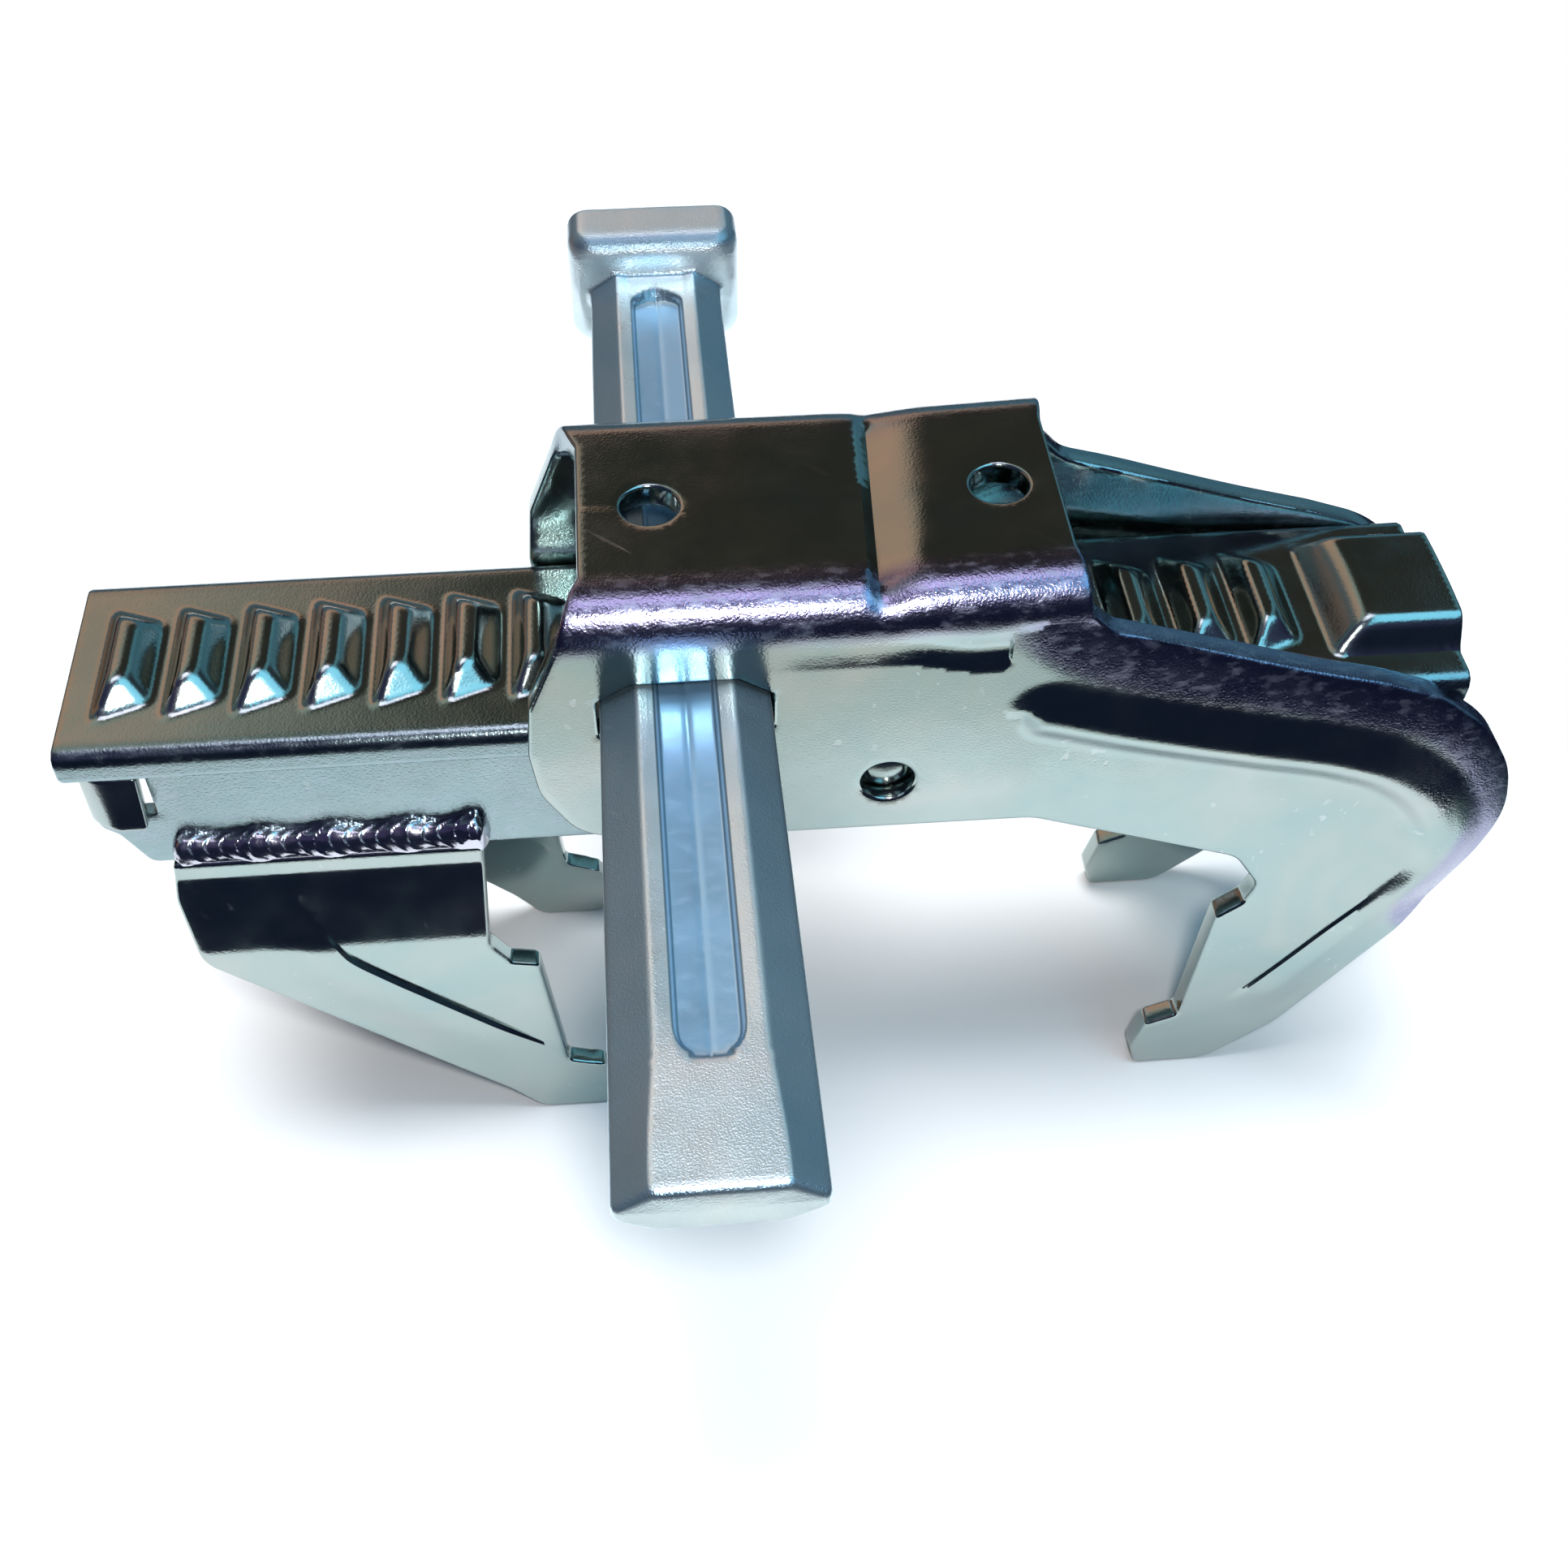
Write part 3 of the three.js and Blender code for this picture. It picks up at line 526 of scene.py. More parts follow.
rail_metal = plating("rail_plating", PALE, (0.12, 0.20), 0.20, 1700.0, 0.03, toned=GREY_BLUE,
                     tone_grain=0.3, tone_gloss=0.05)
jaw_metal = plating("jaw_plating", PALE, (0.09, 0.16), 0.15, 1700.0, 0.02)
slider_metal = plating("slider_plating", PALE, (0.10, 0.18), 0.20, 1700.0, 0.03, scratch=0.5,
                       tone_grain=0.45, tone_gloss=0.08)
# The wedge's sloping sides are painted darker: painted shade at 72 %.
wedge_metal = plating("forged_plating", COOL, (0.26, 0.38), 0.80, 2300.0, 0.05, scratch=0.2,
                      toned=BLUE, tone_grain=-0.65, tone_gloss=0.04, metal=0.84, slope_painted_shade=0.72)
weld_metal = plating("weld_metal", DARK, (0.10, 0.22), 0.30, 1800.0, 0.05, scratch=0.0)
stud_metal = plating("stud_plating", PALE, (0.12, 0.2), 0.20, 1700.0, 0.02)


# ---- Rail ------------------------------------------------------------------------------------

def rail_relief(layout):
    """Teeth and the end pad, as heights above the flat top."""
    x, y = layout[:, 0], np.abs(layout[:, 1])
    height = waviness(layout_to_3d(layout), 60.0, 0.12, 1)
    for i in range(RIDGE_COUNT):
        u = x - (RAIL_LEFT + FIRST_RIDGE + i * RIDGE_PITCH)
        near = (u > -3) & (u < RIDGE_FOOT + 3)
        along = u[near]
        rise = along * RIDGE_HEIGHT / CREST_START
        fall = (RIDGE_FOOT - along) * RIDGE_HEIGHT / (RIDGE_FOOT - CREST_END)
        foot = RIDGE_LONG + (RIDGE_SHORT - RIDGE_LONG) * np.clip(along / RIDGE_FOOT, 0, 1)
        hip = (foot - y[near]) * RIDGE_HEIGHT / (RIDGE_LONG - RIDGE_CREST - 1.5)
        tooth = soft_min(soft_min(rise, fall, 3.2), hip, 2.6)
        tooth = soft_min(tooth, np.full_like(tooth, RIDGE_HEIGHT + 0.1), 1.4)
        height[near] += soft_floor(tooth, 1.0)
    left = (x - (RAIL_RIGHT - PAD_LENGTH)) * PAD_HEIGHT / (PAD_SLOPE + 2.5)
    sides = (PAD_HALF - y) * PAD_HEIGHT / PAD_SLOPE
    crown = PAD_HEIGHT + 0.2 - 0.9 * (y / PAD_HALF) ** 2
    pad = soft_min(soft_min(left, sides, 3.5), crown, 3.0)
    return height + soft_floor(pad, 1.0)


def layout_to_3d(layout):
    """The layout with a third coordinate of zero."""
    return np.column_stack([layout, np.zeros(len(layout))])


def make_rail_cap():
    section, reach = channel_fold(CAP_HALF, 0.0, CAP_BEND, CAP_SHEET)
    edge = reach(-CAP_LIP)
    outline = rounded([
        (RAIL_LEFT, -edge, 1.5), (RAIL_RIGHT, -edge, 1.5),
        (RAIL_RIGHT, edge, 1.5), (RAIL_LEFT, edge, 1.5),
    ], 1.2)

    def tone(layout):
        away = np.abs(layout[:, 1])
        return 0.8 * smooth(away, CAP_HALF - 6.0, CAP_HALF - 2.0)

    piece = pressed_sheet("rail_top", outline, [], straight_fold(section), rail_relief, CAP_SHEET,
                          1.15, rim=0.6, tone=tone)
    return finish_piece(piece, "rail", "rail_cap", rail_metal)


def make_rail_channel():
    section, reach = channel_fold(CHANNEL_HALF, CHANNEL_TOP, CHANNEL_BEND, CHANNEL_SHEET)
    left, right = RAIL_LEFT + CHANNEL_SETBACK, RAIL_RIGHT - CHANNEL_SETBACK
    notch = left + LUG_LENGTH + 1.2
    bottom = reach(CHANNEL_BOTTOM)

    def relief(layout):
        return waviness(layout_to_3d(layout), 70.0, 0.15, 2)

    near = [
        (left, 0.0), (left, -reach(LUG_TOP) + 0.25, 0.5), (notch, -reach(LUG_TOP) + 0.25, 1.0),
        (notch, -reach(LUG_BOTTOM) - 0.25, 1.0), (left, -reach(LUG_BOTTOM) - 0.25, 0.5),
        (left, -bottom + 13.5, 3.0), (left + 3.5, -bottom + 10.5, 2.5), (left + 8.5, -bottom, 3.0),
        (right - 8.5, -bottom, 3.0), (right, -bottom + 11.0, 3.0),
    ]
    far = [(x, -s, *rest) for x, s, *rest in reversed(near[1:])]
    outline = rounded(near + far, 1.6)
    piece = pressed_sheet("rail_frame", outline, [], straight_fold(section), relief, CHANNEL_SHEET,
                          2.6, rim=0.7, tone=lambda layout: np.full(len(layout), 0.75))
    finish_piece(piece, "rail", "rail_channel", rail_metal)

    def lug_fold(layout, offset):
        """Bulges outwards from the flange's end and leans out towards its lower edge."""
        x, z = layout[:, 0], layout[:, 1]
        run = np.clip((x - left) / 7.0, 0.0, 1.0)
        bulge = LUG_BULGE * np.sin(run * math.pi / 2) ** 0.8
        slope = LUG_BULGE * math.pi / 14 * np.cos(run * math.pi / 2) * (run < 1)
        tilt = 1.0 / np.sqrt(1.0 + slope**2)
        lower = np.clip((LUG_TOP - z) / (LUG_TOP - LUG_BOTTOM), 0.0, 1.0)
        y = CHANNEL_HALF - CHANNEL_SHEET / 2 + bulge * (0.4 + 0.6 * lower)
        return np.column_stack([x - slope * tilt * offset, y + tilt * offset, z])

    outline = rounded([
        (left + 0.4, LUG_BOTTOM, 1.0), (left + LUG_LENGTH, LUG_BOTTOM, 1.0),
        (left + LUG_LENGTH, LUG_TOP, 1.0), (left + 0.4, LUG_TOP, 1.0),
    ], 0.8)
    for side, mirrored in (("rear", False), ("front", True)):
        lug = pressed_sheet(f"stop_lug_{side}", outline, [], lug_fold,
                            lambda layout: np.zeros(len(layout)), CHANNEL_SHEET - 0.4, 1.0,
                            rim=0.6, mirrored=mirrored)
        finish_piece(lug, "rail", "rail_channel", rail_metal, joined=True)


# ---- Fixed jaws and their welds --------------------------------------------------------------

JAW_BEAD = (
    (-113.5, -48.0), (-109.0, -51.5), (-105.5, -56.5), (-102.3, -62.5), (-98.5, -69.0),
    (-90.5, -78.0), (-82.7, -85.8), (-64.7, -103.3), (-50.5, -116.6),
)


def jaw_outline():
    """Side outline of a fixed jaw."""
    return rounded([
        (JAW_LEFT + 1.6, JAW_TOP, 1.5),
        (JAW_LEFT, JAW_TOP - 12, 10),
        (-134, -68, 12),
        (-66, -134, 10),
        (-58, FOOT, 6),
        (-39, FOOT, 4),
        (-36.5, HOOK_BOTTOM - 11, 5),
        (-40, HOOK_BOTTOM - 3.6, 2),
        (-49.4, HOOK_BOTTOM, 2.5),
        (-53.2, HOOK_TOP, 2),
        (-60, HOOK_TOP + 1.5, 1.5),
        (-64.6, HOOK_TOP + 9, 3),
        (JAW_RIGHT, JAW_TOP, 1.5),
    ], 1.3)


def make_jaw(side, mirrored):
    line = smooth_line(JAW_BEAD, 90)

    def centre(z):
        """The sheet's middle in y: close to the flange above the joggle, further out below it."""
        share = (z - JAW_SLOPE_BOTTOM) / (JAW_STRIP_BOTTOM - JAW_SLOPE_BOTTOM)
        share = soft_min(soft_floor(share, 0.10), np.ones_like(share), 0.05)
        return JAW_INNER_TOP + JAW_SHEET / 2 + JAW_JOGGLE * (1.0 - share)

    def fold(layout, offset):
        x, z = layout[:, 0], layout[:, 1]
        slope = (centre(z + 0.1) - centre(z - 0.1)) / 0.2
        level = 1.0 / np.sqrt(1.0 + slope**2)
        return np.column_stack([x, centre(z) + level * offset, z - slope * level * offset])

    def relief(layout):
        distance, which, share = from_line(layout, line)
        signed = distance * which
        step = smooth(-signed, -0.30, 0.30)
        fall = 1.0 - smooth(-signed, 5.0, 21.0)
        fade = smooth(share, 0.0, 0.30) * (1.0 - 0.75 * smooth(share, 0.75, 1.0))
        bead = 1.4 * step * fall * fade
        return bead + waviness(layout_to_3d(layout), 45.0, 0.14, 3 if mirrored else 4)

    creases = [beside(line, 0.30), beside(line, -0.30)]
    along = np.arange(JAW_LEFT, JAW_RIGHT, 1.4)
    creases += [np.column_stack([along, np.full(len(along), z)])
                for z in (JAW_STRIP_BOTTOM + 0.5, JAW_STRIP_BOTTOM - 0.5)]
    piece = pressed_sheet(f"jaw_{side}", jaw_outline(), [], fold, relief, JAW_SHEET, 1.4,
                          rim=0.8, mirrored=mirrored, creases=creases)
    return finish_piece(piece, "rail", f"fixed_jaw_{side}", jaw_metal)


WELD_RADIUS, RIPPLE_PITCH, RIPPLE_HEIGHT, WELD_REACH = 4.55, 3.6, 0.34, 4.85


def make_weld(side, mirrored):
    """Stacked crescents of a hand-laid fillet bead."""
    left, right = JAW_LEFT + 1.2, JAW_RIGHT + 1.8
    corner_y, corner_z = JAW_INNER_TOP - 0.2, JAW_TOP - 0.2
    stations = np.linspace(left, right, 300)
    around = np.linspace(0.0, 1.0, 22)
    rings = []
    for x in stations:
        end = min(x - left, right - x)
        swell = math.sqrt(max(0.0, 1.0 - (1.0 - min(end / 3.2, 1.0)) ** 2))
        fat = 1.0 + 0.10 * math.sin(x * 0.37) + 0.16 * smooth(x, right - 14, right - 4)
        ring = []
        for t in around:
            angle = -0.12 + t * (math.pi / 2 + 0.24)
            bow = 4.6 * math.sin(math.pi * t)
            wobble = noise.noise(Vector((x * 0.35, t * 2.0, 7.0 + mirrored)))
            phase = (x + bow) / RIPPLE_PITCH + 0.25 * wobble
            saw = phase - math.floor(phase)
            ripple = RIPPLE_HEIGHT * (saw**1.5) * math.sin(math.pi * t) ** 0.5
            radius = (WELD_RADIUS * fat + ripple + 0.16 * wobble) * swell
            ring.append((x, corner_y + radius * math.cos(angle),
                         corner_z + radius * math.sin(angle) * 1.2))
        ring.append((x, corner_y - 0.1, corner_z - 0.1))
        rings.append(ring)
    rings = np.array(rings)
    rings[:, :, 1] = np.minimum(rings[:, :, 1], JAW_INNER_TOP + WELD_REACH)
    if mirrored:
        rings = rings * np.array([1.0, -1.0, 1.0])
        rings = rings[:, ::-1]
    piece = swept(f"weld_{side}", rings, 60.0)
    return finish_piece(piece, "rail", f"jaw_weld_{side}", weld_metal)


# ---- Slider ----------------------------------------------------------------------------------

ARM_EDGE = (
    (79, 23, 8), (144, 4.2, 34), (159, -1.4, 34), (173, -12.6, 34), (183, -28, 34),
    (187.1, -44, 34), (184, -59, 34), (176.5, -77, 34), (146.5, -127.5, 20),
)
ARM_CREST = (
    (66.5, 2.2), (73.0, 0.0), (82.0, -3.0), (100.0, -8.3), (118.0, -13.2), (138.0, -18.6),
    (152.0, -25.0), (162.5, -34.5), (169.0, -46.5), (170.5, -60.0), (164.5, -73.5),
    (154.4, -89.0), (146.0, -102.0), (138.5, -113.0), (132.5, -121.5),
)
ARM_TOP = (
    (62, 34), (79, 23.4), (112, 13.4), (144, 4.0), (160, -1.6), (173.5, -12.0), (183, -28),
    (187, -44), (184, -59), (176.5, -77),
)

VALLEY_DEPTH, VALLEY_SLANT, VALLEY_DROP = 3.1, 0.06, 2.4
LEDGE_RIGHT, LEDGE_END = 55.6, 56.2
STRIP_WIDTH, STRIP_LEAN = 13.5, 2.7


def cheek_corners():
    """Side outline of one cheek, arm and claw, from the web's left end round to its right end."""
    return [
        (-47.6, 13.6, 6),
        (-49, -1, 12),
        (-47.6, -14, 14),
        (-40, CHEEK_BOTTOM + 4.5, 12),
        (-26, CHEEK_BOTTOM + 0.6, 20),
        (66.6, CHEEK_BOTTOM, 14),
        (120.0, -52.5, 8),
        (128.0, -64.5, 5),
        (125.8, HOOK_TOP + 5.6, 3),
        (119.6, HOOK_TOP, 1.5),
        (117.4, HOOK_BOTTOM, 2.5),
        (109, HOOK_BOTTOM - 3.6, 2),
        (106.4, FOOT + 8, 3),
        (108.6, FOOT, 2.5),
        (129, FOOT, 10),
        *reversed(ARM_EDGE),
        (WEB_RIGHT + 2.4, 29, 5),
    ]


def slot_corners():
    """Wedge slot in the cheek, as (x, z) corners."""
    half = WEDGE_HALF_AT_CHEEK + 0.6
    flat = half - 7.5
    top = WEDGE_MIDDLE + WEDGE_HALF_HEIGHT + 0.6
    bottom = WEDGE_MIDDLE - WEDGE_HALF_HEIGHT - 6.0
    drop = 4.9
    return [
        (WEDGE_X - half, bottom + drop, 1.0), (WEDGE_X - flat, bottom, 1.0),
        (WEDGE_X + flat, bottom, 1.0), (WEDGE_X + half, bottom + drop, 1.0),
        (WEDGE_X + half, top - drop, 1.0), (WEDGE_X + flat, top, 1.0),
        (WEDGE_X - flat, top, 1.0), (WEDGE_X - half, top - drop, 1.0),
    ]


def ledge_foot(x):
    """Level of the pressed ledge's lower edge."""
    return 22.0 - 3.0 * smooth(x, 34.0, 50.0)


def make_slider():
    section, reach = channel_fold(SLIDER_OUTER, WEB_TOP, SLIDER_BEND, SLIDER_SHEET)
    crest = smooth_line(ARM_CREST, 120)
    top_edge = smooth_line(ARM_TOP, 70)
    web_side = SLIDER_OUTER - SLIDER_BEND - 1.0
    outer_foot = beside(crest, 11.0)[3:72]
    claw_foot = beside(crest, -5.7)[78:114]

    def fold(layout, offset):
        x = layout[:, 0]
        y, z, ny, nz = section(layout[:, 1])
        lift = np.maximum(x - CREASE_X, 0.0) * math.tan(WEB_RISE) * smooth(z, 8.0, 30.0)
        return np.column_stack([x, y + ny * offset, z + nz * offset + lift])

    def arm_bead(side_view):
        """Broad bead round the arm: planar outer flank, rounded crest, softer inner flank."""
        distance, which, share = from_line(side_view, crest)
        claw = smooth(share, 0.66, 0.80)
        outer = soft_floor(soft_min(1.0 - distance / (11.0 - 1.5 * claw), 0.93, 0.12), 0.02)
        arm_side = 0.93 * smooth(7.2 - distance, 0.0, 7.0)
        claw_side = 0.93 * ((1.0 - distance / 16.0) - 0.62 * smooth(distance, 5.4, 6.0))
        claw_side *= 1.0 - smooth(distance, 6.0, 9.0)
        inner = arm_side * (1.0 - claw) + claw_side * claw
        height = 2.5 * (1.0 - 0.45 * claw)
        ends = 1.0 - smooth(share, 0.93, 1.0)
        return height * ends * np.where(which > 0, outer, inner)

    def crease(x, s):
        """Valley across the web: a long roll and a short drop on its left, a hollow slope right."""
        u = x - CREASE_X - VALLEY_SLANT * s
        front = 1.0 - smooth(np.abs(s), web_side - 1.0, web_side + 10.0)
        roll = 1.3 * np.clip(1.0 + u / 12.0, 0.0, 1.0) ** 2.4 * smooth(s, -10.0, 14.0)
        drop = np.clip((u + VALLEY_DROP) / VALLEY_DROP, 0.0, 1.0)
        width = 14.0 - 4.0 * smooth(-s, 0.0, 30.0)
        rise = np.clip(1.0 - u / width, 0.0, 1.0) ** 1.7
        deep = VALLEY_DEPTH - 1.3 * smooth(s, -10.0, 14.0)
        return np.where(u < 0, roll + deep * drop, VALLEY_DEPTH * rise) * front

    def ledge(x, z):
        """Pressed step high on the cheek, deepest at its square right end."""
        depth = 0.30 * smooth(x, 0.0, 16.0) + 0.95 * smooth(x, 24.0, 53.0)
        depth *= 1.0 - smooth(x, LEDGE_RIGHT, LEDGE_END)
        low = ledge_foot(x)
        hollow = (1.0 - smooth(z, low + 4.0, low + 10.0)) * np.clip((z - low) / 3.6, 0.0, 1.0)
        return depth * (0.78 * hollow + 0.22 * smooth(z, low - 0.3, low + 0.3)
                        * (1.0 - smooth(z, low + 4.0, low + 10.0)))

    def relief(layout):
        x, s = layout[:, 0], layout[:, 1]
        side_view = np.column_stack([x, reach(0.0) - np.abs(s)])
        on_cheek = np.abs(s) > reach(29.0)
        height = waviness(np.column_stack([layout, np.where(s < 0, 0.0, 90.0)]), 55.0, 0.16, 5)
        height += arm_bead(side_view) * on_cheek
        edge_distance, _, _ = from_line(side_view, top_edge)
        lean = np.clip((STRIP_WIDTH - edge_distance) / STRIP_WIDTH, 0.0, 1.0)
        height -= STRIP_LEAN * lean**1.55 * on_cheek * smooth(x, 50.0, 68.0)
        height -= crease(x, s)
        height -= ledge(x, side_view[:, 1])
        return height

    def tone(layout):
        # Painted reflection and painted shade: the bends get the violet as a painted reflection and
        # the arm's top strip gets it as painted shade, in full on the front side and a quarter on the
        # rear. The same tone also roughens these places and gives them rubbed patches.
        x, s = layout[:, 0], layout[:, 1]
        away = np.abs(s)
        bend = smooth(away, web_side - 5.0, web_side + 1.0)
        bend *= 1.0 - smooth(away, reach(33.0), reach(27.0))
        edge_distance, _, _ = from_line(np.column_stack([x, reach(0.0) - away]), top_edge)
        strip_painted_shade_and_wear = (1.0 - smooth(edge_distance, 9.0, STRIP_WIDTH)) * (away > reach(31.0))
        strip_painted_shade_and_wear = strip_painted_shade_and_wear * smooth(x, 50.0, 66.0)
        return np.maximum(bend, 0.85 * strip_painted_shade_and_wear) * np.where(s < 0, 1.0, 0.25)

    cheek = [(x, -reach(z), *rest) for x, z, *rest in cheek_corners()]
    near = [(WEB_LEFT, -web_side + 3, 3.0), *cheek, (WEB_RIGHT, -web_side + 3, 3.0)]
    far = [(x, -s, *rest) for x, s, *rest in reversed(near)]
    outline = rounded(near + far, 1.4)
    holes = [circle(x, 0.0, WEB_HOLE) for x in WEB_HOLES_X]
    creases = []
    across = np.arange(-web_side, web_side, 1.4)
    for u in (-VALLEY_DROP, 0.0):
        creases.append(np.column_stack([CREASE_X + u + VALLEY_SLANT * across, across]))
    for side in (-1.0, 1.0):
        slot = rounded(slot_corners(), 1.2)
        holes.append(np.column_stack([slot[:, 0], side * reach(slot[:, 1])]))
        holes.append(circle(STUD_X, side * reach(STUD_Z), STUD_RADIUS + 0.3))
        step_x = np.arange(4.0, 55.4, 1.3)
        step_z = ledge_foot(step_x)
        end_z = np.arange(19.2, 27.5, 1.0)
        lines = [np.column_stack([step_x, step_z - 0.3]), np.column_stack([step_x, step_z + 0.3]),
                 np.column_stack([np.full(len(end_z), LEDGE_RIGHT), end_z]),
                 np.column_stack([np.full(len(end_z), LEDGE_END), end_z]),
                 outer_foot, beside(claw_foot, 0.3), beside(claw_foot, -0.3)]
        creases += [np.column_stack([line[:, 0], side * reach(line[:, 1])]) for line in lines]
    piece = pressed_sheet("slider_shell", outline, holes, fold, relief, SLIDER_SHEET, 1.5, rim=0.9,
                          creases=creases, tone=tone)
    return finish_piece(piece, "slider", "slider_body", slider_metal)


def make_stud(side, mirrored):
    """Pressed-in stud with a domed outer end."""
    inner, outer = JAW_INNER_TOP + 0.6, SLIDER_OUTER - 2.6
    r = STUD_RADIUS
    profile = [
        (r - 1.2, inner), (r - 0.3, inner + 0.2), (r, inner + 1.0), (r, outer - 2.2),
        (r - 0.25, outer - 1.5), (r - 0.9, outer - 0.9), (r - 2.2, outer - 0.45),
        (r - 4.0, outer - 0.15), (0.4, outer),
    ]
    turns = np.arange(48) * 2 * math.pi / 48
    rings = []
    for radius, y in profile:
        rings.append(np.column_stack([
            STUD_X + radius * np.cos(turns), np.full(48, y), STUD_Z + radius * np.sin(turns)]))
    rings = np.array(rings)[:, ::-1]
    if mirrored:
        rings = (rings * np.array([1.0, -1.0, 1.0]))[:, ::-1]
    piece = swept(f"stud_{side}", rings, 60.0)
    return finish_piece(piece, "slider", f"keeper_stud_{side}", stud_metal)


# ---- Wedge -----------------------------------------------------------------------------------

def split(start, end, count):
    """Even points from start to just before end."""
    run, climb = end[0] - start[0], end[1] - start[1]
    return [(start[0] + run * k / count, start[1] + climb * k / count) for k in range(count)]


def half_ring(half, flat, height, drop):
    """Upper half of the shank's octagon from its right side to its left, in even runs."""
    side = (half, 0.0)
    shoulder = (half, height - drop)
    top_right, top_left = (flat, height), (-flat, height)
    points = split(side, shoulder, 4) + split(shoulder, top_right, 14)
    points += split(top_right, top_left, 60)
    left_shoulder = (-half, height - drop)
    points += split(top_left, left_shoulder, 14) + split(left_shoulder, (-half, 0.0), 4)
    return points


def shank_ring(y):
    """Octagon with two rounded ribs and a groove between them on its upper and lower faces."""
    front = smooth(-y, 112.0, 128.0)
    half = WEDGE_HALF_AT_CHEEK - (y + SLIDER_OUTER) * WEDGE_TAPER
    flat = 10.2 + 2.0 * smooth(-y, 120.0, 150.0)
    upper = half_ring(half, flat, WEDGE_HALF_HEIGHT, 4.9)
    ring = np.array(upper + [(-x, -z) for x, z in upper])
    for _ in range(2):
        ring = ring * 0.5 + (np.roll(ring, 1, axis=0) + np.roll(ring, -1, axis=0)) * 0.25
    x, z = ring[:, 0], ring[:, 1]
    facing = smooth(np.abs(z), WEDGE_HALF_HEIGHT - 1.2, WEDGE_HALF_HEIGHT - 0.3)
    into = np.clip((y + 127.5) / 6.6, 0.0, 1.0)
    closing = math.sqrt(1.0 - (1.0 - into) ** 2)
    closing *= 1.0 - smooth(y, 108.0, 114.0)
    groove_half = max(6.6 * closing, 0.01)
    away = np.abs(x) / groove_half
    floor = 2.1 + 0.45 * np.clip(1.0 - away, 0.0, 1.0) + 0.22 * np.clip(1.0 - away / 0.16, 0.0, 1.0)
    floor = floor * min(1.0, closing * 2.0)
    groove = floor * smooth(1.04 - away, 0.0, 0.16)
    shoulder = (1.0 - front) * (0.25 * smooth(10.0 - np.abs(x), 0.0, 1.4)
                                + 0.35 * smooth(8.7 - np.abs(x), 0.0, 1.6))
    return x, z - np.sign(z) * facing * (groove + shoulder)


def head_ring(count, inset):
    """Rounded rectangle of the head, sampled from its right side round to the left."""
    w, h = HEAD_HALF_WIDTH - inset, HEAD_HALF_HEIGHT - inset
    outline = rounded([(w, -h, 5), (w, h, 5), (-w, h, 5), (-w, -h, 5)], 0.5)
    start = np.argmin(np.abs(outline[:, 1]) + (outline[:, 0] < 0) * 100)
    outline = np.roll(outline, -start, axis=0)
    closed = np.concatenate([outline, outline[:1]])
    length = np.r_[0, np.cumsum(np.linalg.norm(np.diff(closed, axis=0), axis=1))]
    at = np.linspace(0, length[-1], count, endpoint=False)
    return np.interp(at, length, closed[:, 0]), np.interp(at, length, closed[:, 1])


def even_ring(x, z):
    """Reads a ring again at even steps, so that it matches the head's ring."""
    closed_x, closed_z = np.r_[x, x[0]], np.r_[z, z[0]]
    length = np.r_[0, np.cumsum(np.hypot(np.diff(closed_x), np.diff(closed_z)))]
    at = np.linspace(0, length[-1], len(x), endpoint=False)
    return np.interp(at, length, closed_x), np.interp(at, length, closed_z)


def make_wedge():
    stations = [(WEDGE_FRONT, 0.0, 1.5), (WEDGE_FRONT + 0.3, 0.0, 0.8), (WEDGE_FRONT + 0.8, 0.0, 0.3),
                (WEDGE_FRONT + 1.6, 0.0, 0.0)]
    stations += [(y, 0.0, 0.0) for y in np.arange(WEDGE_FRONT + 3.0, 100.0, 1.5)]
    stations += [(y, 0.0, 0.0) for y in np.arange(100.0, 115.0, 1.0)]
    stations += [(117.8, 0.02, 0.0), (118.5, 0.05, 0.0), (118.9, 0.11, 0.0), (119.2, 0.21, 0.0),
                 (119.4, 0.33, 0.0), (119.5, 0.46, 0.0), (119.7, 0.58, 0.0), (120.2, 0.70, 0.0),
                 (121.1, 0.81, 0.0), (122.3, 0.90, 0.0), (123.8, 0.96, 0.0), (125.6, 1.0, 0.0)]
    stations += [(y, 1.0, 0.0) for y in np.arange(127.0, 135.0, 1.5)]
    stations += [(135.4, 1.0, 0.15), (136.4, 1.0, 0.6), (137.2, 1.0, 1.4), (WEDGE_BACK, 1.0, 2.6)]
    rings = []
    for y, headed, inset in stations:
        shank_x, shank_z = even_ring(*shank_ring(y))
        head_x, head_z = head_ring(len(shank_x), inset if headed == 1.0 else 0.0)
        if inset > 0.0 and headed == 0.0:
            shank_x = shank_x * (1.0 - inset / WEDGE_HALF_AT_CHEEK)
            shank_z = shank_z * (1.0 - inset / WEDGE_HALF_HEIGHT)
        x = shank_x * (1.0 - headed) + head_x * headed
        z = shank_z * (1.0 - headed) + head_z * headed
        rings.append(np.column_stack([WEDGE_X + x, np.full(len(x), y), WEDGE_MIDDLE + z]))
    rings = np.array(rings)
    flat = rings.reshape(-1, 3)
    middle = np.array([WEDGE_X, 0.0, WEDGE_MIDDLE])
    outward = (flat - middle) * np.array([1.0, 0.0, 1.0])
    outward /= np.maximum(np.linalg.norm(outward, axis=1), 1e-6)[:, None]
    dents = waviness(flat, 26.0, 0.06, 8) + waviness(flat, 3.4, 0.016, 9) - 0.06
    across = np.abs(flat[:, 0] - WEDGE_X)
    dents *= smooth(across, 4.5, 8.0)
    rings = (flat + outward * dents[:, None]).reshape(rings.shape)
    along = smooth(flat[:, 1], WEDGE_FRONT + 27.0, WEDGE_FRONT + 31.0)
    groove = (1.0 - smooth(across, 5.2, 6.8)) * along * (1.0 - smooth(flat[:, 1], 106.0, 112.0))
    piece = swept("wedge_body", rings, 70.0, groove)
    return finish_piece(piece, "wedge", "wedge", wedge_metal)


# ---- Stage -----------------------------------------------------------------------------------

